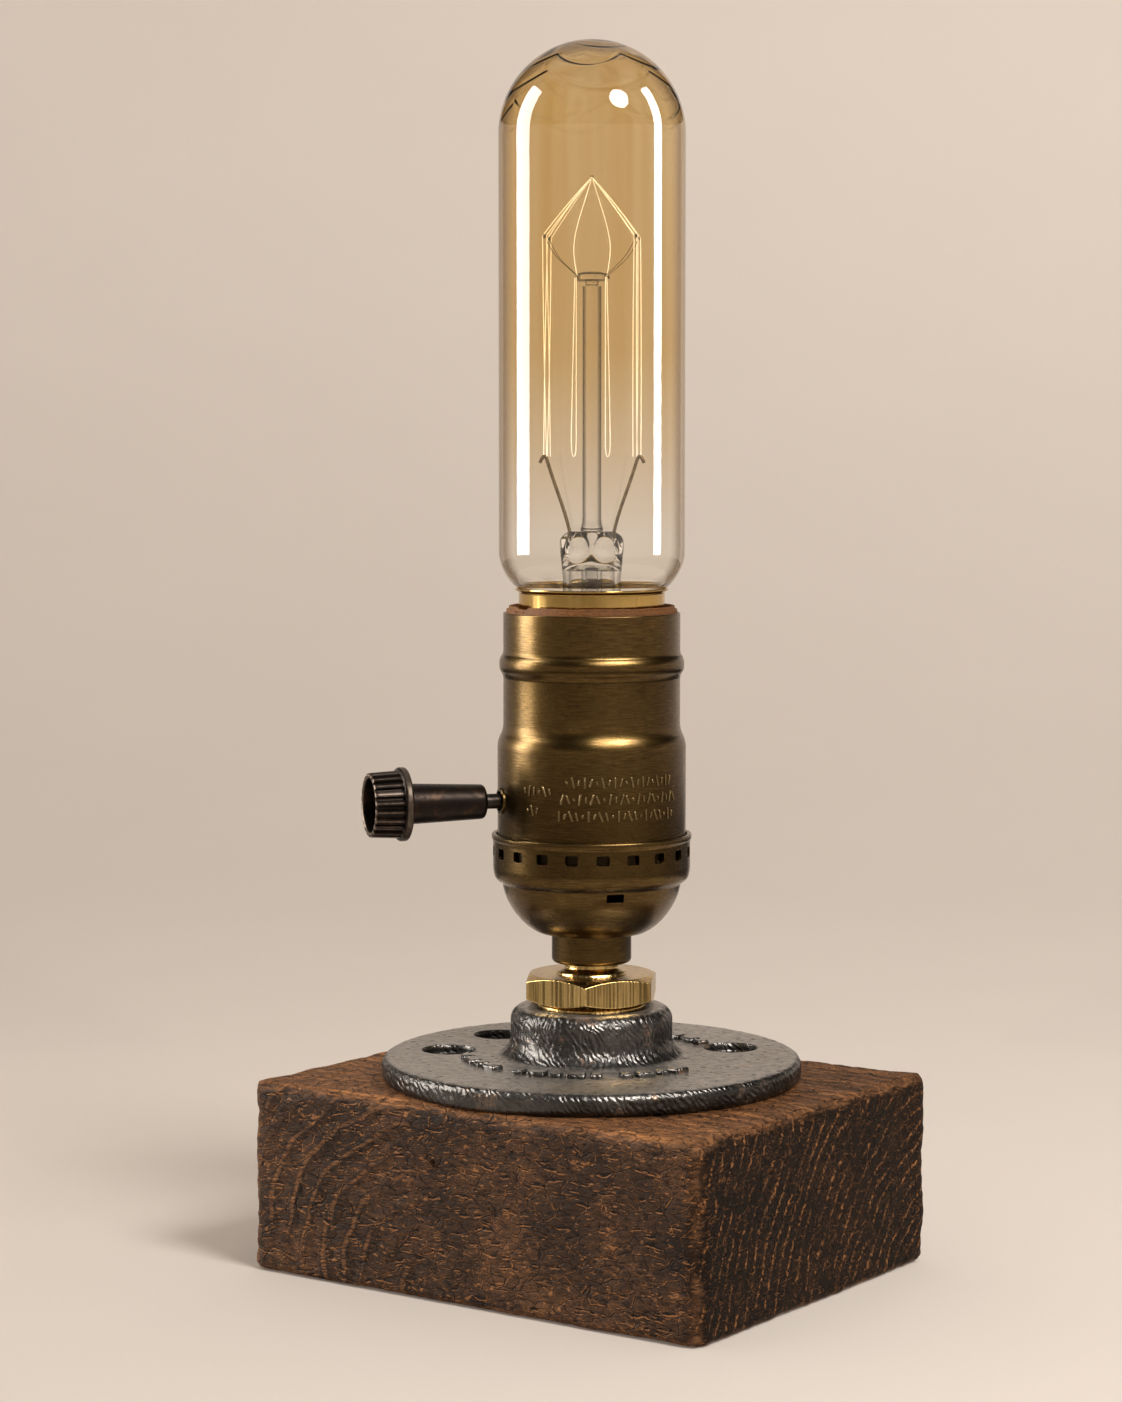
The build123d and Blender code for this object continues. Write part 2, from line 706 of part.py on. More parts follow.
# Rotary switch: a leaf over a square rotor on the knob's spindle
def switch_contact():
    ceiling = knob_z + POCKET_HALF
    leaf = Pos(0, 0, ceiling - SWITCH_LEAF_T) * Box(
        SWITCH_LEAF_WIDTH, 2 * POCKET_HALF, SWITCH_LEAF_T, align=(Align.CENTER, Align.CENTER, Align.MIN)
    )
    return Rot(0, 0, KNOB_BEARING) * leaf


def switch_rotor():
    square = Rectangle(ROTOR_SIDE, ROTOR_SIDE)
    square = chamfer(square.vertices(), ROTOR_EDGE)
    block = Pos(0, 0, -ROTOR_LENGTH / 2) * extrude(square, ROTOR_LENGTH)
    return knob_frame * (block - rod(SPINDLE_D / 2 + THREAD_FIT, -ROTOR_LENGTH / 2, ROTOR_LENGTH / 2))


def switch_spindle():
    inner = -pocket_length() / 2 - SPINDLE_TAIL + SPINDLE_FIT
    return knob_frame * rod(SPINDLE_D / 2, inner, knob_start + SPINDLE_IN_KNOB)


# Knob: a tapered barrel with a ribbed, hollow head
def turn_knob():
    tip_r = KNOB_TIP_D / 2
    root_r = KNOB_ROOT_D / 2
    flange_r = KNOB_FLANGE_D / 2
    head_r = KNOB_HEAD_D / 2
    face_r = KNOB_FACE_D / 2
    cup_r = face_r - KNOB_CUP_WALL
    barrel_end = knob_start + KNOB_BARREL_LENGTH
    head_start = barrel_end + KNOB_FLANGE_T
    face_end = head_start + KNOB_HEAD_LENGTH
    section = make_face(
        Polyline(
            (0, knob_start),
            (tip_r, knob_start),
            (root_r, barrel_end),
            (flange_r, barrel_end),
            (flange_r, head_start),
            (head_r, head_start),
            (face_r, face_end),
            (cup_r, face_end),
            (cup_r, face_end - KNOB_CUP_DEPTH),
            (0, face_end - KNOB_CUP_DEPTH),
            close=True,
        )
    )
    section = fillet(section.vertices().sort_by_distance((tip_r, knob_start))[0], KNOB_EDGE_R)
    for height in (barrel_end, head_start):
        section = fillet(section.vertices().sort_by_distance((flange_r, height))[0], KNOB_FLANGE_R)
    knob = revolve(Plane.XZ * section, Axis.Z)
    groove = Pos(head_r - KNOB_GROOVE_DEPTH, 0, head_start) * Box(
        KNOB_HEAD_D,
        KNOB_GROOVE_WIDTH,
        KNOB_HEAD_LENGTH * 2,
        align=(Align.MIN, Align.CENTER, Align.MIN),
    )
    for index in range(KNOB_RIB_COUNT):
        knob -= Rot(0, 0, index * 360 / KNOB_RIB_COUNT) * groove
    knob -= rod(SPINDLE_D / 2 + THREAD_FIT, knob_start, knob_start + SPINDLE_IN_KNOB)
    return knob_frame * knob


# Bulb base: tip contact, glass insulator and brass screw shell with its collar
def bulb_tip_contact():
    radius = BULB_TIP_D / 2
    crown = BULB_TIP_T * 0.4
    return turned(
        ThreePointArc((0, tip_z), (radius * 0.6, tip_z + crown * 0.3), (radius, tip_z + crown))
        + Polyline((radius, tip_z + crown), (radius, tip_z + BULB_TIP_T), (0, tip_z + BULB_TIP_T), (0, tip_z))
    )


def insulator_z():
    return tip_z + BULB_TIP_T + BULB_TURN_PLAY


def bulb_base_insulator():
    low = insulator_z()
    high = low + INSULATOR_HEIGHT
    return turned(
        Polyline((0, low), (INSULATOR_FOOT_D / 2, low), (base_insulator_r, high), (0, high), close=True)
    )


def bulb_screw_base():
    foot_r = base_insulator_r - SCREW_BASE_WALL
    foot_z = insulator_z() + INSULATOR_HEIGHT
    roll = screw_base_r - foot_r
    roll_in = roll * (1 - cos(radians(45)))
    start = (foot_r, foot_z)
    wall_z = foot_z + roll
    step_z = tip_z + SCREW_BASE_HEIGHT
    lip_low = lip_z - COLLAR_LIP_HEIGHT
    end = (collar_lip_r, lip_z)
    line = (
        ThreePointArc(start, (screw_base_r - roll_in, foot_z + roll_in), (screw_base_r, wall_z))
        + Polyline((screw_base_r, wall_z), (screw_base_r, step_z), (collar_r, collar_z), (collar_r, lip_low))
        + Line((collar_r, lip_low), end)
    )
    return pressed_sheet(line, start, end, SCREW_BASE_WALL)


def base_cement():
    high = tip_z + SCREW_BASE_HEIGHT
    return tube(cement_r, cement_r - CEMENT_WALL, high - CEMENT_DEPTH, high)


# Bulb glass
def neck_foot_z():
    return lip_z - NECK_GLASS_DEPTH


def glass_envelope():
    bulb_r = BULB_D / 2
    lip_slope = atan2(COLLAR_LIP_HEIGHT, COLLAR_LIP_PROUD)
    throat_r = collar_lip_r - SCREW_BASE_WALL / sin(lip_slope) - CEMENT_FIT
    foot_z = neck_foot_z()
    neck_z = lip_z - COLLAR_HEIGHT
    shoulder_top = lip_z + BULB_SHOULDER
    dome_z = bulb_top_z - bulb_r
    start = (neck_glass_r, foot_z)
    throat = (throat_r, lip_z)
    collar_fit = (collar_r - SCREW_BASE_WALL - CEMENT_FIT, lip_z - SCREW_BASE_WALL)
    outline = (
        Line(start, (neck_glass_r, neck_z))
        + Polyline((neck_glass_r, neck_z), collar_fit, throat)
        + TangentArc((bulb_r, shoulder_top), throat, tangent=(0, -1))
        + Line((bulb_r, shoulder_top), (bulb_r, dome_z))
        + ThreePointArc(
            (bulb_r, dome_z),
            (bulb_r * cos(radians(45)), dome_z + bulb_r * sin(radians(45))),
            (0, bulb_top_z),
        )
    )
    over = 2 * GLASS_WALL
    below = (neck_glass_r, foot_z - over)
    blown = turned(outline + Polyline((0, bulb_top_z), (0, foot_z), start))
    dome_lead = Line((0, bulb_top_z), (-GLASS_WALL, bulb_top_z))
    room = make_face(
        Line(below, start)
        + outline
        + dome_lead
        + Polyline((-GLASS_WALL, bulb_top_z), (-GLASS_WALL, below[1]), below)
    )
    return blown - revolve(Plane.XZ * offset(room, -GLASS_WALL), Axis.Z)


def glass_stem():
    """Flared tube fused to the neck's foot, closed by a flattened press that holds the leads."""
    flare_r = neck_glass_r - GLASS_WALL - CEMENT_FIT
    tube_r = STEM_TUBE_D / 2
    foot_z = neck_foot_z()
    waist_z = press_z - STEM_PRESS_HEIGHT
    rise = waist_z - foot_z
    outer = (flare_r, foot_z)
    mid = (tube_r + (flare_r - tube_r) * 0.25, foot_z + rise * 0.3)
    line = ThreePointArc(outer, mid, (tube_r, waist_z))
    flare = turned(line + Polyline((tube_r, waist_z), (0, waist_z), (0, foot_z), outer))
    over = 2 * STEM_WALL
    room = make_face(
        Line((flare_r, foot_z - over), outer)
        + line
        + Polyline(
            (tube_r, waist_z),
            (-STEM_WALL, waist_z),
            (-STEM_WALL, foot_z - over),
            (flare_r, foot_z - over),
        )
    )
    flare -= revolve(Plane.XZ * offset(room, -STEM_WALL), Axis.Z)
    press_face = Rot(0, 0, FILAMENT_BEARING) * RectangleRounded(
        STEM_PRESS_WIDTH, STEM_PRESS_DEPTH, STEM_PRESS_DEPTH * 0.45
    )
    press = loft([Pos(0, 0, waist_z) * Circle(tube_r), Pos(0, 0, press_z) * press_face])
    return flare + press - rod(EXHAUST_D / 2 + CEMENT_FIT, foot_z, waist_z)


def exhaust_tube():
    high = press_z - STEM_PRESS_HEIGHT
    return tube(EXHAUST_D / 2, EXHAUST_D / 2 - EXHAUST_WALL, high - EXHAUST_LENGTH, high)


def stem_rod():
    return rod(ROD_D / 2, press_z, button_z)


def rod_button():
    half = BUTTON_HEIGHT / 2
    edge = BUTTON_D / 2
    return turned(
        Line((0, button_z), (ROD_D / 2, button_z))
        + ThreePointArc((ROD_D / 2, button_z), (edge, button_z + half), (ROD_D / 2, button_z + BUTTON_HEIGHT))
        + Polyline((ROD_D / 2, button_z + BUTTON_HEIGHT), (0, button_z + BUTTON_HEIGHT), (0, button_z))
    )


# Filament mount: two leads, an arch and arms on the button, and the long hairpin strands between them
def lead_wires():
    leads = []
    for side in (-1, 1):
        top = side * HOOK_HALF
        leads.append(
            wire(
                [
                    in_bulb(side * LEAD_FOOT_HALF, 0, press_z + LEAD_D / 2),
                    in_bulb(top, 0, lead_z),
                    in_bulb(top + side * 2 * LEAD_HOOK_R, 0, lead_z - LEAD_HOOK_R),
                ],
                LEAD_D,
                LEAD_HOOK_R * 0.7,
            )
        )
    return Compound(children=leads)


def filament_supports():
    supports = []
    spring_z = button_z + BUTTON_HEIGHT + ARCH_SPRING
    tip = FILAMENT_D + SUPPORT_D
    arch_foot = BUTTON_D / 2 + SUPPORT_D
    arch = [
        in_bulb(-arch_foot, 0, button_z + BUTTON_HEIGHT / 2),
        in_bulb(-ARCH_HALF - SUPPORT_D, 0, spring_z),
        in_bulb(0, 0, apex_z - tip),
        in_bulb(ARCH_HALF + SUPPORT_D, 0, spring_z),
        in_bulb(arch_foot, 0, button_z + BUTTON_HEIGHT / 2),
    ]
    supports.append(wire(arch, SUPPORT_D, FILAMENT_BEND_R))
    arm_foot = BUTTON_D / 2 * 0.8
    for side in (-1, 1):
        for depth in (-1, 1):
            supports.append(
                wire(
                    [
                        in_bulb(side * arm_foot, depth * arm_foot, button_z + BUTTON_HEIGHT / 2),
                        in_bulb(side * HOOK_HALF * 0.75, depth * HOOK_DEPTH * 0.8, hook_z - HOOK_DEPTH),
                        in_bulb(side * (HOOK_HALF - tip), depth * HOOK_DEPTH, hook_z - SUPPORT_D),
                    ],
                    SUPPORT_D,
                    FILAMENT_BEND_R,
                )
            )
    return Compound(children=supports)


def filament():
    """Two strands over the apex and four upper hooks to the leads, and two hairpins hung in front of the rod."""
    strands = []
    foot_z = lead_z + LEAD_D
    for depth in (-1, 1):
        spread = depth * STRAND_SPACING / 2
        strands.append(
            wire(
                [
                    in_bulb(-HOOK_HALF, spread, foot_z),
                    in_bulb(-HOOK_HALF, depth * HOOK_DEPTH, hook_z),
                    in_bulb(0, spread, apex_z),
                    in_bulb(HOOK_HALF, depth * HOOK_DEPTH, hook_z),
                    in_bulb(HOOK_HALF, spread, foot_z),
                ],
                FILAMENT_D,
                FILAMENT_BEND_R,
            )
        )
    top_z = button_z + BUTTON_HEIGHT / 2
    front = -BUTTON_D / 2
    for side in (-1, 1):
        inner = side * MID_LOOP_OFFSET
        outer = side * (MID_LOOP_OFFSET + STRAND_SPACING / 2)
        strands.append(
            wire(
                [
                    in_bulb(inner, front, top_z),
                    in_bulb(inner, front, foot_z),
                    in_bulb(outer, front, foot_z),
                    in_bulb(outer, front, top_z),
                ],
                FILAMENT_D,
                FILAMENT_GAP * 2,
            )
        )
    return Compound(children=strands)


PIECES = (
    wood_base,
    floor_flange,
    flange_screws,
    hex_bushing,
    lamp_nipple,
    socket_cap,
    cap_set_screw,
    socket_shell,
    shell_liner,
    insulator_body,
    switch_cover,
    screw_shell,
    screw_shell_rivets,
    centre_contact,
    neutral_terminal,
    live_terminal,
    neutral_terminal_screw,
    live_terminal_screw,
    switch_contact,
    switch_rotor,
    switch_spindle,
    turn_knob,
    bulb_tip_contact,
    bulb_base_insulator,
    bulb_screw_base,
    base_cement,
    glass_envelope,
    glass_stem,
    exhaust_tube,
    stem_rod,
    rod_button,
    lead_wires,
    filament_supports,
    filament,
)

os.makedirs("parts", exist_ok=True)
for piece in PIECES:
    export_step(piece(), f"parts/{piece.__name__}.step")
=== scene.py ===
"""Looks of the bedside lamp: a tubular filament bulb in a brass turn-knob socket, on an iron flange and a
wooden block.

Metres, in the part's own frame: +Z up, the origin at the centre of the block's underside, the lamp's axis
on Z. Section corners and sizes are written in millimetres, and bearings in degrees about Z from +X.
"""

import json
import math

import bmesh
import bpy
from mathutils import Matrix, Vector, noise


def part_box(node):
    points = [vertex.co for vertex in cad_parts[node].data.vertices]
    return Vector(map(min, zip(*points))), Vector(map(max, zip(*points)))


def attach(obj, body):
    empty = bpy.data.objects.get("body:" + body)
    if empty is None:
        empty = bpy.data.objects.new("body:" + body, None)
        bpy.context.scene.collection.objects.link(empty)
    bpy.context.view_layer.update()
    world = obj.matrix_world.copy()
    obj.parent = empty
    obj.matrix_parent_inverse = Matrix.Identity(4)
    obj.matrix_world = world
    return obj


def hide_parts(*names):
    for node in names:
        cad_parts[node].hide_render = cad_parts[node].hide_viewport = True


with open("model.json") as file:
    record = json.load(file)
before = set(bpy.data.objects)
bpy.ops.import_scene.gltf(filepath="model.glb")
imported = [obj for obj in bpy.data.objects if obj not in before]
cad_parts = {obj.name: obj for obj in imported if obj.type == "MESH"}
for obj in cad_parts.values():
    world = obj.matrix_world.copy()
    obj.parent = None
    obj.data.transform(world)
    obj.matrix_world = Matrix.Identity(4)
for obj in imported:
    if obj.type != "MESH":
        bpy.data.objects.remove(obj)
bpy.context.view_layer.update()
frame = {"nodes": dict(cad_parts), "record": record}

MM = 0.001
UP = Vector((0, 0, 1))
SECTORS = 8
SAME_PLACE = 1e-7
SAME_SIDE = 1e-6
GLASS_SLOTS = ("amber_glass", "clear_glass")

# Camera, fitted to the photograph
IMAGE_LONG_SIDE = 1402
FOCAL_PIXELS = 3400
SENSOR = 36.0
VIEW_DISTANCE = 636.526
VIEW_AZIMUTH = 35.268
VIEW_ELEVATION = 4.579
TARGET_ASIDE = -5.748
TARGET_HEIGHT = 107.045

# Bearings of the lamp's features
KNOB_BEARING = 232.3
FILAMENT_BEARING = 30.3
PRY_SLOT_BEARING = -39.9
SCREW_BEARINGS = (50.0, 165.0, 205.0)
SCREW_CIRCLE = 27.5


def node_top(node):
    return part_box(node)[1].z / MM


def node_foot(node):
    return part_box(node)[0].z / MM


def node_radius(node):
    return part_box(node)[1].x / MM


def bearing_vector(bearing):
    turn = math.radians(bearing)
    return Vector((math.cos(turn), math.sin(turn), 0))


def smooth_step(low, high, value):
    share = min(max((value - low) / (high - low), 0.0), 1.0)
    return share * share * (3 - 2 * share)


# Mesh helpers
def draw_section(bm, corners, closed=True, rounds=6):
    """Line in the XZ plane through (radius, height) corners.

    A corner's third number is the radius that rounds it, and its fourth the steps of that round.
    """
    verts = [bm.verts.new((corner[0] * MM, 0, corner[1] * MM)) for corner in corners]
    following = verts[1:] + verts[:1] if closed else verts[1:]
    for start, end in zip(verts, following):
        bm.edges.new((start, end))
    for vert, corner in zip(verts, corners):
        if len(corner) > 2:
            bmesh.ops.bevel(
                bm,
                geom=[vert],
                offset=corner[2] * MM,
                offset_type="OFFSET",
                affect="VERTICES",
                segments=corner[3] if len(corner) > 3 else rounds,
                profile=0.5,
                material=-1,
            )


def divide_section(bm, spacing):
    """Cuts long runs of a section into steps of about the spacing, apart from a flat underside."""
    foot = min(vert.co.z for vert in bm.verts)
    for edge in list(bm.edges):
        if all(vert.co.z - foot < SAME_PLACE for vert in edge.verts):
            continue
        cuts = int(edge.calc_length() / (spacing * MM))
        if cuts:
            bmesh.ops.subdivide_edges(bm, edges=[edge], cuts=cuts)


def tidy_faces(bm):
    """Closes seams and poles, and turns the faces outwards."""
    bmesh.ops.remove_doubles(bm, verts=bm.verts, dist=SAME_PLACE)
    bmesh.ops.dissolve_degenerate(bm, edges=bm.edges, dist=SAME_PLACE / 10)
    bmesh.ops.recalc_face_normals(bm, faces=bm.faces)


def spin(bm, angle, steps, rise=0.0, copies=False):
    """Turns a section about Z, with a rise at each step, or sets copies of a sector side by side."""
    bmesh.ops.spin(
        bm,
        geom=bm.verts[:] + bm.edges[:] + bm.faces[:],
        cent=(0, 0, 0),
        axis=UP,
        dvec=(0, 0, rise),
        angle=angle,
        steps=steps,
        use_duplicate=copies,
    )


def spin_round(bm, steps):
    """Turns a section once about Z: one sector, then copies of it side by side."""
    sector = math.tau / SECTORS
    spin(bm, sector, steps // SECTORS)
    spin(bm, math.tau - sector, SECTORS - 1, copies=True)
    tidy_faces(bm)


def turned(corners, steps, closed=True, rounds=6, spacing=None):
    """Shape turned about Z from the corners of its section."""
    bm = bmesh.new()
    draw_section(bm, corners, closed, rounds)
    if spacing:
        divide_section(bm, spacing)
    spin_round(bm, steps)
    return bm


def runs_along(edge, axis):
    """Whether an edge goes any way along an axis."""
    start, end = edge.verts
    return abs(start.co[axis] - end.co[axis]) > SAME_SIDE


def add_block(bm, size, place, round_axis, rounding):
    """Adds a block of a size in mm at a placing matrix, with its edges along one axis rounded."""
    made = bmesh.ops.create_cube(bm, size=1.0)["verts"]
    bmesh.ops.transform(bm, matrix=Matrix.Diagonal((*[s * MM for s in size], 1)), verts=made)
    edges = dict.fromkeys(edge for vert in made for edge in vert.link_edges if runs_along(edge, round_axis))
    result = bmesh.ops.bevel(
        bm,
        geom=list(edges),
        offset=rounding * MM,
        affect="EDGES",
        segments=4,
        profile=0.5,
        material=-1,
    )
    made = grow_to_shell({vert for face in result["faces"] for vert in face.verts})
    bmesh.ops.transform(bm, matrix=place, verts=list(made))


def rod(radius, length, place, sides=48):
    """Closed rod along Z of a size in mm, with its middle at a placing matrix."""
    bm = bmesh.new()
    bmesh.ops.create_cone(
        bm,
        cap_ends=True,
        segments=sides,
        radius1=radius * MM,
        radius2=radius * MM,
        depth=length * MM,
        matrix=place,
    )
    return bm


def move(bm, place):
    """Moves a whole shape by a placing matrix."""
    bmesh.ops.transform(bm, matrix=place, verts=bm.verts)


def grow_to_shell(verts):
    """All vertices joined to the given ones by edges."""
    found = set(verts)
    front = list(found)
    while front:
        vert = front.pop()
        for edge in vert.link_edges:
            other = edge.other_vert(vert)
            if other not in found:
                found.add(other)
                front.append(other)
    return found


def lifted(height):
    """Placing matrix: up along Z."""
    return Matrix.Translation((0, 0, height * MM))


def at_bearing(bearing, radius, height):
    """Placing matrix: X points away from the lamp's axis along the bearing, Z stays up."""
    turn = Matrix.Rotation(math.radians(bearing), 4, "Z")
    return turn @ Matrix.Translation((radius * MM, 0, height * MM))


def along_bearing(bearing, height):
    """Placing matrix: a piece drawn about Z points away from the lamp's axis along the bearing."""
    outward = bearing_vector(bearing)
    side = outward.cross(UP)
    turn = Matrix((UP, side, outward)).transposed().to_4x4()
    return lifted(height) @ turn


def mesh_object(bm, name):
    """Object of a finished shape, at the origin."""
    mesh = bpy.data.meshes.new(name)
    bm.to_mesh(mesh)
    bm.free()
    obj = bpy.data.objects.new(name, mesh)
    bpy.context.scene.collection.objects.link(obj)
    return obj


def shown_mesh(obj):
    """New mesh of an object as it shows, with its modifiers and bevels applied."""
    return bpy.data.meshes.new_from_object(obj.evaluated_get(bpy.context.evaluated_depsgraph_get()))


def carve(obj, cutter_bm, operation="DIFFERENCE"):
    """Cuts, trims or joins a piece with a tool shape, which is then thrown away."""
    cutter = mesh_object(cutter_bm, obj.name + "_cutter")
    cut = obj.modifiers.new("carve", "BOOLEAN")
    cut.object = cutter
    cut.operation = operation
    cut.solver = "EXACT"
    shaped = shown_mesh(obj)
    obj.modifiers.remove(cut)
    old = obj.data
    obj.data = shaped
    shaped.name = obj.name
    bpy.data.meshes.remove(old)
    tool = cutter.data
    bpy.data.objects.remove(cutter)
    bpy.data.meshes.remove(tool)


def soften_edges(obj, width, angle, segments):
    """Rounds the edges that are sharper than an angle, by a width in mm."""
    bevel = obj.modifiers.new("worn_edges", "BEVEL")
    bevel.width = width * MM
    bevel.segments = segments
    bevel.limit_method = "ANGLE"
    bevel.angle_limit = math.radians(angle)
    bevel.harden_normals = False


def fit_piece(obj, body, slot, *nodes, smooth_angle=38, finish=None):
    """Shades a finished piece, gives it the finish of its slot or the one named, hangs it under its body, and
    hides the nodes that it stands for.

    Glass casts no shadow, so that the lights reach what it holds.
    """
    obj.visible_shadow = slot not in GLASS_SLOTS
    obj.data.materials.clear()
    obj.data.materials.append(finishes[finish or slot])
    obj.data.shade_smooth()
    obj.data.set_sharp_from_angle(angle=math.radians(smooth_angle))
    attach(obj, body)
    if nodes:
        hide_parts(*nodes)


# Material helper
class Finish:
    """One procedural material, built node by node around a Principled shader."""

    def __init__(self, name):
        self.material = bpy.data.materials.new(name)
        self.material.use_nodes = True
        self.tree = self.material.node_tree
        self.shader = self.tree.nodes["Principled BSDF"]
        self.output = self.tree.nodes["Material Output"]
        self.place = self.node("ShaderNodeTexCoord").outputs["Object"]

    def node(self, kind, links=None, **settings):
        made = self.tree.nodes.new(kind)
        for key, value in settings.items():
            setattr(made, key, value)
        for key, value in (links or {}).items():
            self.feed(made.inputs[key], value)
        return made

    def feed(self, socket, value):
        if isinstance(value, bpy.types.NodeSocket):
            self.tree.links.new(value, socket)
        else:
            socket.default_value = value

    def set(self, **values):
        for key, value in values.items():
            self.feed(self.shader.inputs[key.replace("_", " ").title().replace("Ior", "IOR")], value)

    def stretch(self, scale, place=None, turn=(0, 0, 0), shift=(0, 0, 0)):
        links = {"Vector": place or self.place, "Scale": scale, "Rotation": turn, "Location": shift}
        return self.node("ShaderNodeMapping", links).outputs["Vector"]

    def noise(self, size, detail, rough, place=None):
        """Cloudy value from 0 to 1 whose spots are about the size in mm."""
        links = {
            "Vector": place or self.place,
            "Scale": 1 / (size * MM),
            "Detail": detail,
            "Roughness": rough,
        }
        return self.node("ShaderNodeTexNoise", links).outputs["Fac"]

    def cells(self, size, place, feature="DISTANCE_TO_EDGE"):
        """Distance to the edges of cells of about the size in mm, or to their middles."""
        links = {"Vector": place, "Scale": 1 / (size * MM)}
        return self.node("ShaderNodeTexVoronoi", links, feature=feature).outputs["Distance"]

    def wave(self, place, scale, distortion, detail, detail_scale, **settings):
        """Wavy lines from 0 to 1."""
        links = {
            "Vector": place,
            "Scale": scale,
            "Distortion": distortion,
            "Detail": detail,
            "Detail Scale": detail_scale,
        }
        return self.node("ShaderNodeTexWave", links, **settings).outputs["Fac"]

    def wear(self):
        """How worn the surface is, as its mesh says."""
        return self.node("ShaderNodeAttribute", attribute_name="wear").outputs["Fac"]

    def ramp(self, value, *stops):
        """Colour or grey from (position, colour) stops."""
        made = self.node("ShaderNodeValToRGB", {"Fac": value})
        elements = made.color_ramp.elements
        while len(elements) < len(stops):
            elements.new(0.5)
        for element, (position, colour) in zip(elements, stops):
            element.position = position
            grey = isinstance(colour, (int, float))
            element.color = (colour, colour, colour, 1) if grey else (*colour, 1)
        return made.outputs["Color"]

    def mix(self, share, first, second):
        made = self.node("ShaderNodeMix", data_type="RGBA")
        self.feed(made.inputs["Factor"], share)
        for socket, value in ((made.inputs[6], first), (made.inputs[7], second)):
            self.feed(socket, (*value, 1) if isinstance(value, tuple) else value)
        return made.outputs[2]

    def layer(self, colour, *coats):
        """Colour under coats, each a share and a colour of its own."""
        for share, coat in coats:
            colour = self.mix(share, colour, coat)
        return colour

    def sum(self, first, second, operation="ADD"):
        made = self.node("ShaderNodeMath", operation=operation)
        self.feed(made.inputs[0], first)
        self.feed(made.inputs[1], second)
        return made.outputs[0]

    def warped(self, size, amount, place=None):
        """Coordinates pushed about by a cloud, by up to the amount in mm."""
        links = {"Vector": place or self.place, "Scale": 1 / (size * MM), "Detail": 2.0}
        cloud = self.node("ShaderNodeTexNoise", links).outputs["Color"]
        centred = self.node("ShaderNodeVectorMath", operation="SUBTRACT")
        self.feed(centred.inputs[0], cloud)
        centred.inputs[1].default_value = (0.5, 0.5, 0.5)
        scaled = self.node("ShaderNodeVectorMath", operation="SCALE")
        self.feed(scaled.inputs[0], centred.outputs[0])
        scaled.inputs["Scale"].default_value = 2 * amount * MM
        moved = self.node("ShaderNodeVectorMath", operation="ADD")
        self.feed(moved.inputs[0], place or self.place)
        self.feed(moved.inputs[1], scaled.outputs[0])
        return moved.outputs[0]

    def along(self, axis):
        """Place in mm along an axis."""
        parts = self.node("ShaderNodeSeparateXYZ", {"Vector": self.place})
        return self.sum(parts.outputs[axis], 1 / MM, "MULTIPLY")

    def height(self):
        """Height in mm above the block's underside."""
        return self.along("Z")

    def radius(self):
        """Distance in mm from the lamp's axis."""
        made = self.node("ShaderNodeVectorMath", operation="LENGTH")
        self.feed(made.inputs[0], self.stretch((1, 1, 0)))
        return self.sum(made.outputs["Value"], 1 / MM, "MULTIPLY")

    def facing(self, axis):
        """How far the surface faces along an axis, either way, from 0 to 1."""
        normal = self.node("ShaderNodeNewGeometry").outputs["Normal"]
        parts = self.node("ShaderNodeSeparateXYZ", {"Vector": normal})
        return self.sum(parts.outputs[axis], 1.0, "ABSOLUTE")

    def edge_on(self):
        """How far the surface turns away from the eye, from 0 to 1."""
        return self.node("ShaderNodeLayerWeight", {"Blend": 0.5}).outputs["Facing"]

    def step(self, value, low, high):
        """0 up to the low value and 1 from the high one, or the other way round."""
        links = {"Value": value, "From Min": low, "From Max": high}
        return self.node("ShaderNodeMapRange", links, interpolation_type="SMOOTHSTEP").outputs["Result"]

    def rest_of(self, share):
        """What a share leaves of 1."""
        return self.sum(1.0, share, "SUBTRACT")

    def product(self, *values):
        made = values[0]
        for value in values[1:]:
            made = self.sum(made, value, "MULTIPLY")
        return made

    def relief(self, value, depth, strength, under=None):
        """Raises the surface by a value, by up to the depth in mm."""
        links = {"Height": value, "Distance": depth * MM, "Strength": strength}
        if under is not None:
            links["Normal"] = under
        made = self.node("ShaderNodeBump", links).outputs["Normal"]
        self.feed(self.shader.inputs["Normal"], made)
        return made


# Finishes: sizes in mm, colours as linear shares of red, green and blue
# Painted shade on the shell behind the cap's windows: its top, foot and radius in mm
WINDOW_SHADE_TOP = (82.4, 82.0)
WINDOW_SHADE_FOOT = (75.4, 75.8)
WINDOW_SHADE_RADIUS = (17.85, 17.7)


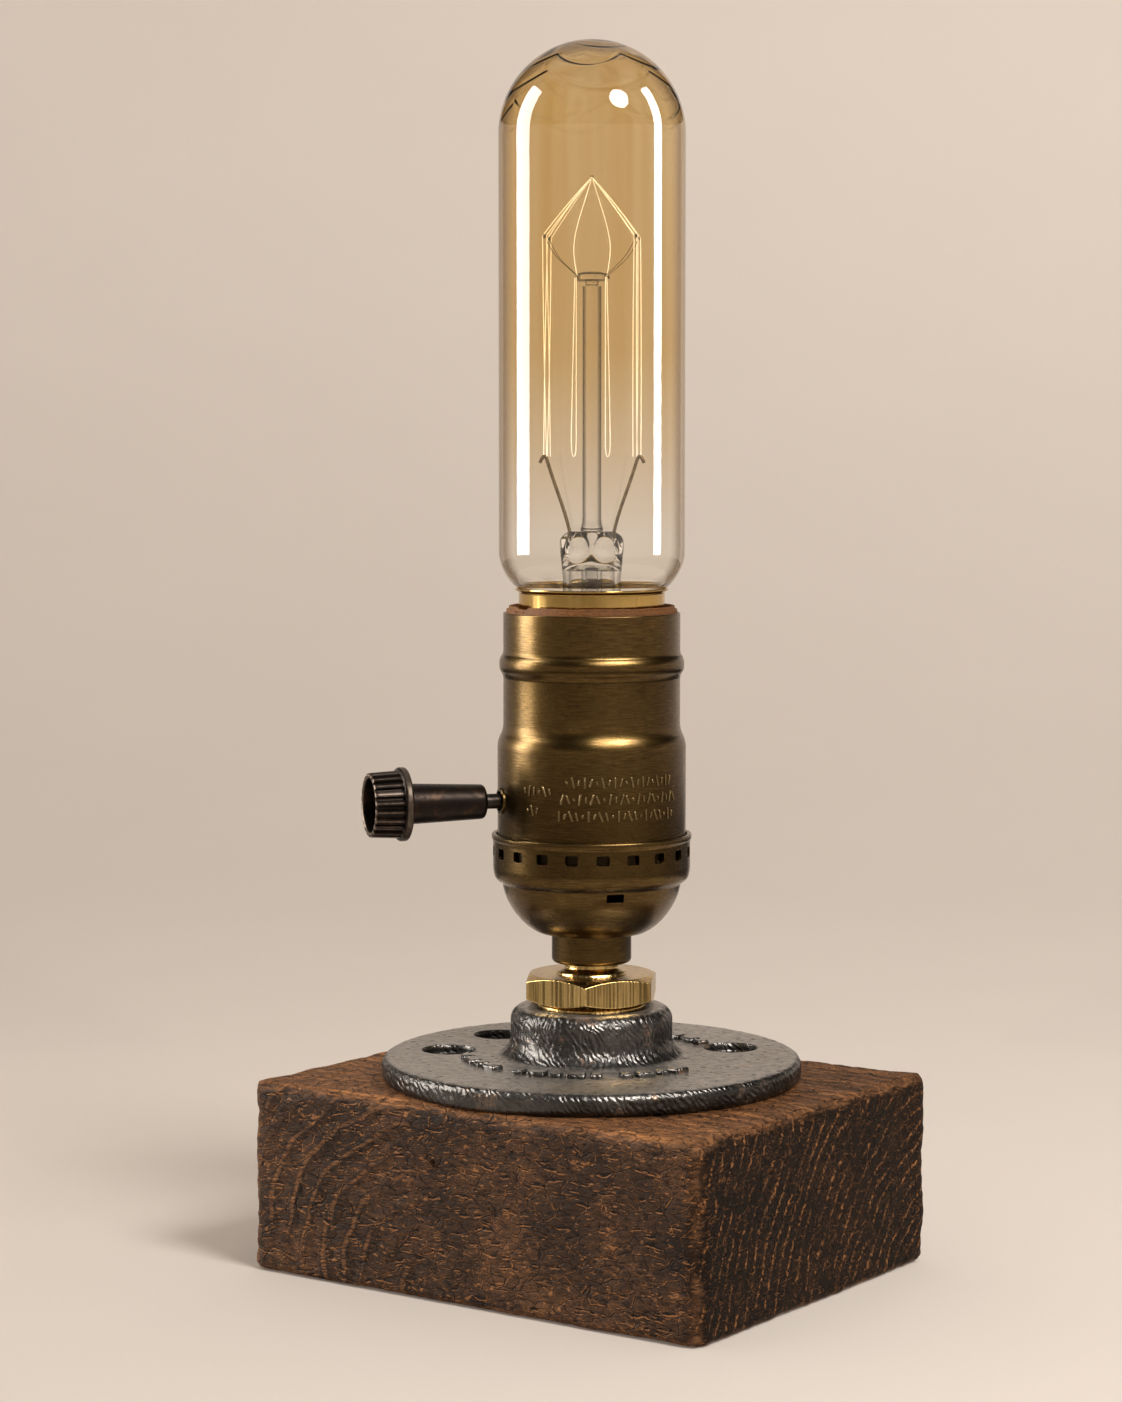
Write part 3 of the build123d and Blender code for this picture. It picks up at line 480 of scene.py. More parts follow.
def aged_brass():
    """Antique brass: brown patina, rubbed patches and high marks, fine scratches round the shell, and painted
    shade on the shell behind the windows, standing in for the shadow inside the cap."""
    finish = Finish("antique_brass")
    cloud = finish.noise(14, 4, 0.6)
    speck = finish.noise(0.9, 3, 0.7)
    lines = finish.noise(1.6, 4, 0.65, finish.stretch((0.6, 0.6, 14)))
    tone = finish.ramp(
        cloud,
        (0.3, (0.044, 0.0245, 0.0058)),
        (0.55, (0.072, 0.0410, 0.0104)),
        (0.75, (0.126, 0.0770, 0.0232)),
    )
    height = finish.height()
    # Painted shade: the shell turns dark behind the cap's windows, standing in for the shadow inside the cap.
    painted_window_shade = finish.product(
        finish.step(height, *WINDOW_SHADE_TOP),
        finish.step(height, *WINDOW_SHADE_FOOT),
        finish.step(finish.radius(), *WINDOW_SHADE_RADIUS),
        0.88,
    )
    finish.set(
        base_color=finish.layer(
            tone,
            (finish.ramp(lines, (0.42, 0.0), (0.72, 0.55)), (0.212, 0.132, 0.044)),
            (finish.ramp(speck, (0.30, 0.7), (0.40, 0.0)), (0.045, 0.026, 0.011)),
            (finish.product(finish.wear(), 0.65), (0.46, 0.34, 0.17)),
            (painted_window_shade, (0.012, 0.008, 0.005)),
        ),
        metallic=1.0,
        roughness=finish.ramp(finish.product(cloud, lines), (0.12, 0.34), (0.4, 0.23)),
        coat_weight=0.15,
        coat_roughness=0.22,
    )
    finish.relief(lines, 0.006, 0.6, finish.relief(speck, 0.006, 0.5))
    return finish.material


def bright_brass(name, tone, shade, smoothness, brush_depth):
    """Polished yellow brass with fine upright brush lines."""
    finish = Finish(name)
    brush = finish.noise(0.55, 1, 0.5, finish.stretch((1, 1, 0.02)))
    cloud = finish.noise(6, 3, 0.6)
    clouded = finish.mix(finish.ramp(cloud, (0.3, 0.0), (0.75, 1.0)), tone, shade)
    grooves = finish.product(finish.step(brush, 0.52, 0.40), min(0.75, 6 * brush_depth))
    finish.set(
        base_color=finish.mix(grooves, clouded, tuple(0.4 * part for part in shade)),
        metallic=1.0,
        roughness=finish.ramp(brush, (0.25, smoothness), (0.75, smoothness + 0.12)),
    )
    finish.relief(brush, brush_depth, 0.8)
    return finish.material


def cast_iron():
    """Bare cast iron: dark and wrinkled like a fingerprint on its sides, pitted and lightly rusted on top,
    and greyer there, partly rubbed and partly a painted reflection of the pale wall."""
    finish = Finish("cast_iron")
    cloud = finish.noise(9, 4, 0.6)
    grit = finish.noise(0.5, 3, 0.6)
    folds = finish.wave(
        finish.warped(4, 1.5), 370.0, 9.0, 1.0, 0.45, wave_type="BANDS", bands_direction="DIAGONAL"
    )
    level = finish.step(finish.facing("Z"), 0.8, 0.96)
    pits = finish.ramp(finish.cells(2.1, finish.warped(3, 1.0), "F1"), (0.14, 1.0), (0.26, 0.0))
    mottle = finish.step(finish.noise(1.6, 4, 0.7), 0.34, 0.66)
    # Upward faces are painted lighter grey: partly rubbed metal, partly a painted reflection of the pale wall
    # behind.
    rubbed = finish.product(level, finish.sum(finish.product(mottle, 0.5), 0.5), 0.70)
    rust = finish.ramp(finish.noise(4.5, 5, 0.7), (0.58, 0.0), (0.72, 0.7))
    finish.set(
        base_color=finish.layer(
            finish.ramp(cloud, (0.3, (0.042, 0.039, 0.036)), (0.7, (0.105, 0.098, 0.091))),
            (rubbed, (0.50, 0.465, 0.43)),
            (finish.product(pits, level, 0.8), (0.03, 0.024, 0.02)),
            (rust, (0.20, 0.095, 0.038)),
        ),
        metallic=finish.ramp(rust, (0.0, 0.97), (1.0, 0.35)),
        roughness=finish.ramp(finish.sum(grit, finish.product(level, 0.5)), (0.35, 0.27), (1.1, 0.40)),
    )
    shallow = finish.rest_of(finish.product(level, 0.8))
    under = finish.relief(grit, 0.03, 0.3)
    under = finish.relief(mottle, 0.07, 0.5, under)
    under = finish.relief(finish.product(pits, level, -1.0), 0.15, 0.6, under)
    finish.relief(finish.product(folds, shallow), 0.08, 1.0, under)
    return finish.material


def dark_bronze():
    """Turned knob: nearly black, worn to brown on the barrel and to metal on its edges."""
    finish = Finish("dark_bronze")
    cloud = finish.noise(4.5, 4, 0.65)
    speck = finish.noise(0.7, 3, 0.7)
    tone = finish.ramp(
        cloud,
        (0.35, (0.010, 0.007, 0.0055)),
        (0.58, (0.018, 0.0115, 0.0080)),
        (0.78, (0.066, 0.034, 0.0170)),
    )
    worn = finish.product(finish.wear(), finish.ramp(speck, (0.3, 0.35), (0.65, 1.0)))
    finish.set(
        base_color=finish.mix(worn, tone, (0.34, 0.26, 0.20)),
        metallic=0.85,
        roughness=finish.ramp(speck, (0.3, 0.30), (0.7, 0.46)),
    )
    finish.relief(speck, 0.03, 0.5)
    return finish.material


FRONT_PITH = (-8.0, 0.0, 2.0)
FRONT_RING = 4.6
END_PITH = (0.0, 48.0, -12.0)
END_RING = 3.0
WAVE_LENGTH = math.tau / 20
SCALE_SHAPE = (0.8, 1.0, 1.5)
# Shifts that put the raw-wood rim on one side of a crack: partly worn wood, partly a painted highlight.
SCALE_LIT_RIM_SHIFT = (0.00012, 0.00008, -0.0002)
CHECK_SHAPE = (0.3, 0.8, 1.5)
CHECK_LIT_RIM_SHIFT = (0, 0, 0.0003)
RAW_WOOD = (0.36, 0.155, 0.055)
SAWN_WOOD = (0.23, 0.098, 0.038)
LINE_WOOD = (0.26, 0.112, 0.042)
RUBBED_WOOD = (0.22, 0.105, 0.048)
END_STAIN = (0.007, 0.0044, 0.0030)
GAP_STAIN = (0.012, 0.007, 0.0045)
FLECK_STAIN = (0.006, 0.004, 0.003)
# Dark in the splits and scale cracks: partly stain, partly painted shade
SPLIT_STAIN_AND_SHADE = (0.005, 0.0034, 0.0026)
CREVICE_STAIN_AND_SHADE = (0.004, 0.0026, 0.002)


def growth_rings(finish, axis, pith, spacing):
    """Wave from 0 to 1 in rings about an axis through the pith, at a spacing in mm."""
    uneven = finish.warped(18, 3.2, finish.warped(5, 0.6))
    centred = finish.stretch((1, 1, 1), uneven, shift=tuple(-part * MM for part in pith))
    scale = WAVE_LENGTH / (spacing * MM)
    return finish.wave(centred, scale, 1.4, 2.0, 1.5, wave_type="RINGS", rings_direction=axis)


def worn_wood():
    """Old dark-stained wood: a crackle of small scales, ring lines, raw orange-brown where it is rubbed, and
    darker end grain."""
    finish = Finish("weathered_wood")
    warped = finish.warped(8, 1.6)
    flaked = finish.warped(3.5, 0.7)
    crackle = finish.stretch(SCALE_SHAPE, flaked)
    scales = finish.cells(2.9, crackle)
    beside = finish.cells(2.9, finish.stretch(SCALE_SHAPE, flaked, shift=SCALE_LIT_RIM_SHIFT))
    fine = finish.cells(1.15, crackle)
    fibre = finish.noise(1.0, 4, 0.65, finish.stretch((0.3, 0.7, 2.2), warped))
    cloud = finish.noise(15, 4, 0.6)
    patch = finish.noise(4.5, 3, 0.6)
    fleck = finish.noise(0.9, 2, 0.6, finish.stretch((0.5, 0.9, 1.3), warped))
    check = finish.noise(1.3, 2, 0.55, finish.stretch(CHECK_SHAPE, warped))
    check_lit_rim = finish.noise(1.3, 2, 0.55, finish.stretch(CHECK_SHAPE, warped, shift=CHECK_LIT_RIM_SHIFT))
    pores = finish.noise(0.8, 2, 0.6)
    streak = finish.noise(1.7, 4, 0.7, finish.stretch((0.05, 1.0, 1.0), warped))
    rings = growth_rings(finish, "Y", FRONT_PITH, FRONT_RING)
    end_rings = growth_rings(finish, "X", END_PITH, END_RING)

    end_grain = finish.step(finish.facing("X"), 0.6, 0.9)
    stained = finish.rest_of(finish.product(end_grain, 0.55))
    upper = finish.step(finish.facing("Z"), 0.6, 0.9)
    tone = finish.ramp(
        finish.product(finish.sum(cloud, fibre), 0.5),
        (0.36, (0.012, 0.0071, 0.0045)),
        (0.50, (0.033, 0.0167, 0.0090)),
        (0.64, (0.082, 0.0385, 0.0178)),
    )
    broken = finish.product(finish.step(finish.noise(12, 3, 0.6), 0.40, 0.6), finish.step(fibre, 0.36, 0.56))
    ringed = finish.product(finish.step(finish.along("X"), 2.0, -18.0), finish.rest_of(end_grain))
    ring_line = finish.product(finish.ramp(rings, (0.90, 0.0), (0.985, 1.0)), broken, ringed)
    ring_shade = finish.product(finish.ramp(rings, (0.62, 0.0), (0.80, 1.0), (0.90, 0.0)), ringed)
    cluster = finish.product(finish.step(finish.noise(8, 3, 0.65), 0.38, 0.58), end_grain)
    pore_row = finish.product(
        finish.ramp(end_rings, (0.74, 0.0), (0.94, 1.0)), finish.step(pores, 0.52, 0.60), cluster
    )
    end_line = finish.product(
        finish.ramp(end_rings, (0.93, 0.0), (0.99, 1.0)), finish.step(fibre, 0.47, 0.58), cluster
    )
    # Splits and the scale cracks below are painted dark: partly stain in them, partly painted shade.
    split = finish.step(check, 0.37, 0.33)
    # Raw wood on one rim of each split: partly worn wood, partly a painted highlight.
    split_raw_and_lit_rim = finish.product(finish.step(check_lit_rim, 0.37, 0.33), finish.rest_of(split))
    crevice = finish.ramp(scales, (0.0, 1.0), (0.03, 0.0))
    sparse = finish.step(finish.noise(2.0, 2, 0.6), 0.42, 0.58)
    # Raw wood along one rim of each scale crack: partly worn wood, partly a painted highlight.
    raw_and_lit_rim = finish.product(
        finish.ramp(beside, (0.0, 1.0), (0.04, 0.0)), finish.step(patch, 0.40, 0.55), sparse
    )
    raw_fine = finish.product(
        finish.ramp(fine, (0.0, 1.0), (0.05, 0.0)), finish.step(cloud, 0.42, 0.6), sparse
    )
    top_line = finish.product(upper, finish.step(streak, 0.53, 0.66))
    top_gap = finish.product(upper, finish.step(streak, 0.44, 0.34))
    rubbed = finish.product(finish.wear(), finish.ramp(fibre, (0.35, 0.1), (0.65, 1.0)), 0.75)
    finish.set(
        base_color=finish.layer(
            tone,
            (finish.product(upper, 0.8, fibre), SAWN_WOOD),
            (finish.product(end_grain, 0.85), END_STAIN),
            (finish.product(top_line, 0.7), RAW_WOOD),
            (finish.product(top_gap, 0.75), GAP_STAIN),
            (finish.product(finish.step(fleck, 0.40, 0.33), 0.8), FLECK_STAIN),
            (finish.product(finish.step(fleck, 0.62, 0.68), stained, 0.45), RAW_WOOD),
            (finish.product(ring_shade, 0.5), FLECK_STAIN),
            (finish.product(ring_line, 0.42), LINE_WOOD),
            (finish.product(pore_row, 0.7), RAW_WOOD),
            (finish.product(end_line, 0.5), RAW_WOOD),
            (finish.product(split_raw_and_lit_rim, stained, 0.55), RAW_WOOD),
            (finish.product(split, 0.85), SPLIT_STAIN_AND_SHADE),
            (finish.product(raw_fine, stained, 0.35), RAW_WOOD),
            (finish.product(raw_and_lit_rim, stained, 0.6), RAW_WOOD),
            (finish.product(crevice, 0.85), CREVICE_STAIN_AND_SHADE),
            (rubbed, RUBBED_WOOD),
        ),
        roughness=finish.ramp(fibre, (0.3, 0.52), (0.7, 0.72)),
        specular_ior_level=0.1,
    )
    under = finish.relief(fibre, 0.22, 0.5)
    under = finish.relief(finish.product(upper, streak), 0.3, 0.6, under)
    under = finish.relief(finish.product(rings, ringed), 0.3, 0.5, under)
    under = finish.relief(fleck, 0.15, 0.5, under)
    under = finish.relief(finish.product(split, -1.0), 0.35, 0.8, under)
    under = finish.relief(finish.ramp(fine, (0.0, 0.0), (0.09, 1.0)), 0.12, 0.6, under)
    finish.relief(finish.ramp(scales, (0.0, 0.0), (0.04, 0.8), (0.2, 1.0)), 0.26, 0.8, under)
    return finish.material


def fibre_board(name, tone, shade):
    """Pressed fibre: fine matted grain."""
    finish = Finish(name)
    grain = finish.noise(0.8, 4, 0.7, finish.stretch((1, 1, 3)))
    finish.set(
        base_color=finish.ramp(grain, (0.3, shade), (0.7, tone)),
        roughness=finish.ramp(grain, (0.3, 0.5), (0.7, 0.72)),
        specular_ior_level=0.2,
    )
    finish.relief(grain, 0.04, 0.6)
    return finish.material


def plain_metal(name, tone, shade, smoothness):
    """Small metal parts: slight stain and drawing marks."""
    finish = Finish(name)
    stain = finish.noise(1.5, 4, 0.65)
    finish.set(
        base_color=finish.ramp(stain, (0.3, shade), (0.7, tone)),
        metallic=1.0,
        roughness=finish.ramp(stain, (0.3, smoothness + 0.14), (0.7, smoothness)),
    )
    finish.relief(stain, 0.01, 0.4)
    return finish.material


def moulded(name, tone, shade, smoothness):
    """Moulded insulators, glass and cement: faint clouding and grain."""
    finish = Finish(name)
    cloud = finish.noise(2.2, 4, 0.65)
    finish.set(
        base_color=finish.ramp(cloud, (0.3, shade), (0.7, tone)),
        roughness=finish.ramp(cloud, (0.3, smoothness), (0.7, smoothness + 0.15)),
    )
    finish.relief(cloud, 0.03, 0.4)
    return finish.material


def strand_with_painted_glow():
    """Polished filament wire in pale gold, with a faint painted glow that stands in for the light that it
    catches.
    """
    finish = Finish("filament_carbon")
    shine = finish.noise(3, 3, 0.6)
    tone = finish.ramp(shine, (0.3, (0.95, 0.89, 0.78)), (0.7, (1.0, 0.98, 0.94)))
    # Painted light: the emission gives the unlit wire a faint glow.
    finish.set(base_color=tone, metallic=0.6, roughness=0.3, emission_color=tone, emission_strength=0.15)
    return finish.material


GLASS_IOR = 1.5


def bulb_glass(name, clear_below, amber_above, tone, absorb, density):
    """Blown glass, tinted above a height and clear below another."""
    finish = Finish(name)
    links = {"Value": finish.height(), "From Min": clear_below, "From Max": amber_above}
    rise = finish.node("ShaderNodeMapRange", links).outputs["Result"]
    share = finish.product(rise, finish.ramp(finish.noise(20, 2, 0.5), (0.3, 0.92), (0.7, 1.0)))
    drawn = finish.noise(6, 2, 0.5, finish.stretch((1, 1, 0.03)))
    deeper = tuple(part ** 1.4 for part in tone)
    tint = finish.mix(finish.step(drawn, 0.42, 0.60), tone, deeper)
    finish.set(
        # Darker brown toward the edges: partly the longer path through the tinted wall, partly painted shade.
        base_color=finish.mix(
            finish.ramp(finish.edge_on(), (0.54, 0.0), (0.66, 0.6), (0.82, 1.0)),
            finish.mix(share, (0.985, 0.975, 0.955), tint),
            (0.20, 0.108, 0.036),
        ),
        roughness=0.0,
        transmission_weight=1.0,
        ior=GLASS_IOR,
    )
    volume = finish.node("ShaderNodeVolumeAbsorption", {"Color": (*absorb, 1), "Density": density})
    finish.tree.links.new(volume.outputs[0], finish.output.inputs["Volume"])
    return finish.material


def clear_glass(name, *edge_stops):
    """Clear glass of the stem, its rod and its button, with painted shade along its edges, where dark
    surroundings would show.
    """
    finish = Finish(name)
    draw = finish.noise(1.5, 2, 0.5, finish.stretch((1, 1, 0.2)))
    clear = finish.ramp(draw, (0.3, (0.94, 0.93, 0.91)), (0.7, (0.985, 0.98, 0.97)))
    finish.set(
        # Painted shade: the colour turns near black as the surface turns edge-on.
        base_color=finish.mix(finish.ramp(finish.edge_on(), *edge_stops), clear, (0.016, 0.010, 0.006)),
        roughness=0.0,
        transmission_weight=1.0,
        ior=GLASS_IOR,
    )
    return finish.material


finishes = {
    "weathered_wood": worn_wood(),
    "cast_iron": cast_iron(),
    "dark_steel": plain_metal("dark_steel", (0.045, 0.040, 0.037), (0.018, 0.015, 0.013), 0.42),
    "polished_brass": bright_brass("polished_brass", (0.66, 0.46, 0.185), (0.50, 0.335, 0.12), 0.16, 0.11),
    "antique_brass": aged_brass(),
    "liner_fibre": fibre_board("liner_fibre", (0.200, 0.082, 0.024), (0.060, 0.025, 0.008)),
    "dark_phenolic": moulded("dark_phenolic", (0.035, 0.022, 0.017), (0.018, 0.012, 0.010), 0.35),
    "washer_fibre": fibre_board("washer_fibre", (0.26, 0.10, 0.055), (0.17, 0.065, 0.04)),
    "contact_brass": plain_metal("contact_brass", (0.62, 0.42, 0.17), (0.42, 0.27, 0.10), 0.28),
    "nickel_steel": plain_metal("nickel_steel", (0.060, 0.050, 0.042), (0.025, 0.020, 0.017), 0.34),
    "dark_bronze": dark_bronze(),
    "solder": plain_metal("solder", (0.55, 0.54, 0.52), (0.36, 0.35, 0.34), 0.3),
    "black_glass": moulded("black_glass", (0.016, 0.015, 0.015), (0.009, 0.009, 0.010), 0.08),
    "bulb_brass": bright_brass("bulb_brass", (0.70, 0.48, 0.17), (0.46, 0.29, 0.085), 0.09, 0.008),
    "basing_cement": moulded("basing_cement", (0.42, 0.36, 0.28), (0.30, 0.25, 0.19), 0.7),
    "amber_glass": bulb_glass("amber_glass", 138.0, 172.0, (0.885, 0.77, 0.545), (0.95, 0.78, 0.45), 60.0),
    "clear_glass": clear_glass("clear_glass", (0.30, 0.0), (0.52, 0.75), (0.8, 1.0)),
    "rod_glass": clear_glass("rod_glass", (0.13, 0.0), (0.32, 0.8), (0.6, 1.0)),
    "lead_metal": plain_metal("lead_metal", (0.16, 0.115, 0.065), (0.07, 0.05, 0.03), 0.34),
    "filament_carbon": strand_with_painted_glow(),
}


# Wooden block
WOOD_CUTS = (150, 120, 54)
WOOD_CORNER_ROUND = 3.7
WOOD_TOP_ROUND = 3.1
WOOD_FOOT_ROUND = 1.6
ROUND_UNEVEN = 0.35
ROUND_UNEVEN_LENGTH = 7
ROUND_NICK = 0.2
ROUND_NICK_LENGTH = 2.2
WOOD_WAVE = 0.22
WOOD_WAVE_LENGTH = 9
WOOD_SCALE = 3.4
WOOD_SCALE_DRIFT = 5
WOOD_SCALE_SEED = 1
WOOD_SCALE_DEPTH = 0.08
WOOD_CRACK = 0.22
WEAR_BEND = (0.04, 0.26)
WEAR_LENGTH = 3.2
BORE_OVERRUN = 4
WIRE_SHAFT_RADIUS = 6.0
WIRE_SHAFT_FOOT = 7.0
CORD_BORE_RADIUS = 4.0
CORD_BORE_HEIGHT = 12.0
# Start, run, width and depth of each knife cut
GASHES = (
    (Vector((-8.5, -40.25, 27.0)), Vector((3.2, 0, -3.6)), 0.55, 1.0),
    (Vector((-26.0, -40.25, 15.5)), Vector((0.5, 0, -2.2)), 0.5, 0.8),
    (Vector((50.5, -18.0, 27.5)), Vector((0, 1.6, -1.0)), 0.45, 0.7),
)


def packed_to_ends(share):
    """Moves evenly spaced shares from -1 to 1 closer together at both ends."""
    return 0.55 * share + 0.45 * math.sin(share * math.pi / 2)


def gash_depth(place):
    """Depth in mm of the knife cuts at a place on the block, in mm."""
    depth = 0.0
    for start, run, width, deep in GASHES:
        along = max(0.0, min(1.0, (place - start).dot(run) / run.length_squared))
        aside = (place - start - run * along).length
        depth = max(depth, deep * (1 - smooth_step(0.0, width, aside)) * (1 - (2 * along - 1) ** 4))
    return depth


def rounded_place(place, half, corner, edge):
    """Moves a place on a box onto the rounded block: gives the new place and the way that it faces."""
    core = Vector([max(corner - half[i], min(half[i] - corner, place[i])) for i in (0, 1)])
    aside = place.xy - core
    reach = max(abs(aside.x), abs(aside.y))
    outward = aside.normalized()
    upright = math.copysign(1.0, place.z)
    lean = max(0.0, edge - corner + reach)
    rise = max(0.0, abs(place.z) - half.z + edge)
    share = edge / max(math.hypot(lean, rise), 1e-9)
    lean, rise = lean * share, rise * share
    plan = core + outward * (corner - edge + lean if lean > 0 else reach)
    height = upright * (half.z - edge + rise) if rise > 0 else place.z
    facing = Vector((outward.x * lean, outward.y * lean, upright * rise)) / edge
    return Vector((plan.x, plan.y, height)), facing


def wooden_block():
    low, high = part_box("wood_base")
    middle = (low + high) / 2 / MM
    half = (high - low) / 2 / MM
    bm = bmesh.new()
    bmesh.ops.create_cube(bm, size=2.0)
    for axis, cuts in enumerate(WOOD_CUTS):
        edges = [edge for edge in bm.edges if runs_along(edge, axis)]
        bmesh.ops.subdivide_edges(bm, edges=edges, cuts=cuts, use_grid_fill=True)
    noise.seed_set(WOOD_SCALE_SEED)
    wear = bm.verts.layers.float.new("wear")
    for vert in bm.verts:
        spread = Vector([packed_to_ends(share) for share in vert.co])
        square = Vector([spread[i] * half[i] for i in range(3)])
        lumpy = ROUND_UNEVEN * noise.noise(square / ROUND_UNEVEN_LENGTH)
        uneven = 1 + lumpy + ROUND_NICK * noise.noise(square / ROUND_NICK_LENGTH)
        edge = WOOD_TOP_ROUND if square.z > 0 else WOOD_FOOT_ROUND
        place, facing = rounded_place(square, half, WOOD_CORNER_ROUND * uneven, edge * uneven)
        scaled = Vector([place[i] * SCALE_SHAPE[i] for i in range(3)]) / WOOD_SCALE
        cell = noise.voronoi(scaled + noise.noise_vector(place / WOOD_SCALE_DRIFT))[0]
        crack = 1 - smooth_step(0.0, WOOD_CRACK, cell[1] - cell[0])
        wave = 0.5 + 0.5 * noise.fractal(place / WOOD_WAVE_LENGTH, 1.0, 2.0, 3)
        sunk = WOOD_WAVE * wave + WOOD_SCALE_DEPTH * crack + gash_depth(place + middle)
        vert.co = (place - facing * max(0.0, sunk) + middle) * MM
        bend = 1 - max(abs(x) for x in facing)
        vert[wear] = smooth_step(*WEAR_BEND, bend) * max(0.0, 0.5 + 0.9 * noise.noise(place / WEAR_LENGTH))
    tidy_faces(bm)
    obj = mesh_object(bm, "wooden_block")
    shaft_top = half.z * 2 + BORE_OVERRUN
    shaft_middle = lifted((shaft_top + WIRE_SHAFT_FOOT) / 2)
    carve(obj, rod(WIRE_SHAFT_RADIUS, shaft_top - WIRE_SHAFT_FOOT, shaft_middle))
    run = half.y + BORE_OVERRUN
    laid = Matrix.Rotation(math.radians(90), 4, "X")
    cord_middle = Matrix.Translation((0, run / 2 * MM, CORD_BORE_HEIGHT * MM)) @ laid
    carve(obj, rod(CORD_BORE_RADIUS, run, cord_middle))
    fit_piece(obj, "stand", "weathered_wood", "wood_base", smooth_angle=60)


# Floor flange
FLANGE_STEPS = 680
FLANGE_SPACING = 0.42
FLANGE_RIM = 4.2
FOOT_EDGE = 0.6
RIM_ROUND = 1.5
HUB_RADIUS = 15.2
HUB_FILLET = 3.9
HUB_ROUND = 2.6
PIPE_BORE = 10.3
RIDGE_LENGTH = 1.05
RIDGE_DEPTH = 0.055
RIDGE_DRIFT = ((4.0, 3.6), (1.9, 1.2))
RIDGE_LEAN = (0.6, 0.42)
TOP_DEPTH = 0.07
TOP_PIT = 1.6
TOP_FACING = (0.75, 0.97)
PLAIN_FOOT = 0.05
PLAIN_LIP = 0.3
BORE_CHAMFER = 0.9
HOLE_RADIUS = 2.55
SINK_RADIUS = 4.95
SINK_DEPTH = 1.6
SINK_CONE = 2.4


def fold_height(place, across):
    """Wrinkle of the casting at a place in mm, from -1 to 1: wandering ridges like a fingerprint."""
    drift = sum(swing * noise.noise(place / length) for length, swing in RIDGE_DRIFT)
    return math.sin(math.tau * (across + drift) / RIDGE_LENGTH)


def flange_casting():
    deck = node_foot("floor_flange")
    hub = node_top("floor_flange") - RIDGE_DEPTH
    rim = node_radius("floor_flange") - RIDGE_DEPTH
    rim_top = deck + FLANGE_RIM
    bm = turned(
        [
            (PIPE_BORE, deck),
            (rim - FOOT_EDGE, deck),
            (rim, deck + FOOT_EDGE, FOOT_EDGE, 3),
            (rim, rim_top, RIM_ROUND, 8),
            (HUB_RADIUS, rim_top - 0.1, HUB_FILLET, 16),
            (HUB_RADIUS, hub, HUB_ROUND, 11),
            (PIPE_BORE + BORE_CHAMFER, hub, 0.4, 3),
            (PIPE_BORE, hub - 1.3 * BORE_CHAMFER, 0.2, 2),
        ],
        FLANGE_STEPS,
        spacing=FLANGE_SPACING,
    )
    for vert in bm.verts:
        place = vert.co / MM
        radius = math.hypot(place.x, place.y)
        if place.z < deck + PLAIN_FOOT or radius < PIPE_BORE + BORE_CHAMFER + PLAIN_LIP:
            continue
        arc = math.atan2(place.y, place.x) * radius
        ridged = RIDGE_DEPTH * fold_height(place, arc * RIDGE_LEAN[0] + place.z * RIDGE_LEAN[1])
        pitted = TOP_DEPTH * noise.fractal(place / TOP_PIT, 1.0, 2.0, 3)
        share = smooth_step(*TOP_FACING, abs(vert.normal.z))
        vert.co += vert.normal * MM * (ridged * (1 - share) + pitted * share)
    obj = mesh_object(bm, "flange_casting")
    for bearing in SCREW_BEARINGS:
        hole = turned(
            [
                (0, deck - 1),
                (HOLE_RADIUS, deck - 1),
                (HOLE_RADIUS, rim_top - SINK_DEPTH - SINK_CONE),
                (SINK_RADIUS, rim_top - SINK_DEPTH, 0.4),
                (SINK_RADIUS, rim_top - 0.4, 0.4),
                (SINK_RADIUS + 0.7, rim_top + 0.5),
                (0, rim_top + 0.5),
            ],
            64,
            closed=False,
        )
        move(hole, at_bearing(bearing, SCREW_CIRCLE, 0))
        carve(obj, hole)
    fit_piece(obj, "stand", "cast_iron", "floor_flange", smooth_angle=50)


# Bushing and nipple
HEX_FLATS = 23.4
HEX_GAP = 0.9
HEX_CHAMFER = 0.25
HEX_CHAMFER_SLOPE = 0.5
SPIGOT_RADIUS = 10.24
SPIGOT_EDGE = 0.6
SPIGOT_GROOVE = 0.5
NIPPLE_RADIUS = 5.0
NIPPLE_HOLE = 5.06
NIPPLE_BORE = 3.3
NIPPLE_FLARE = 6.7


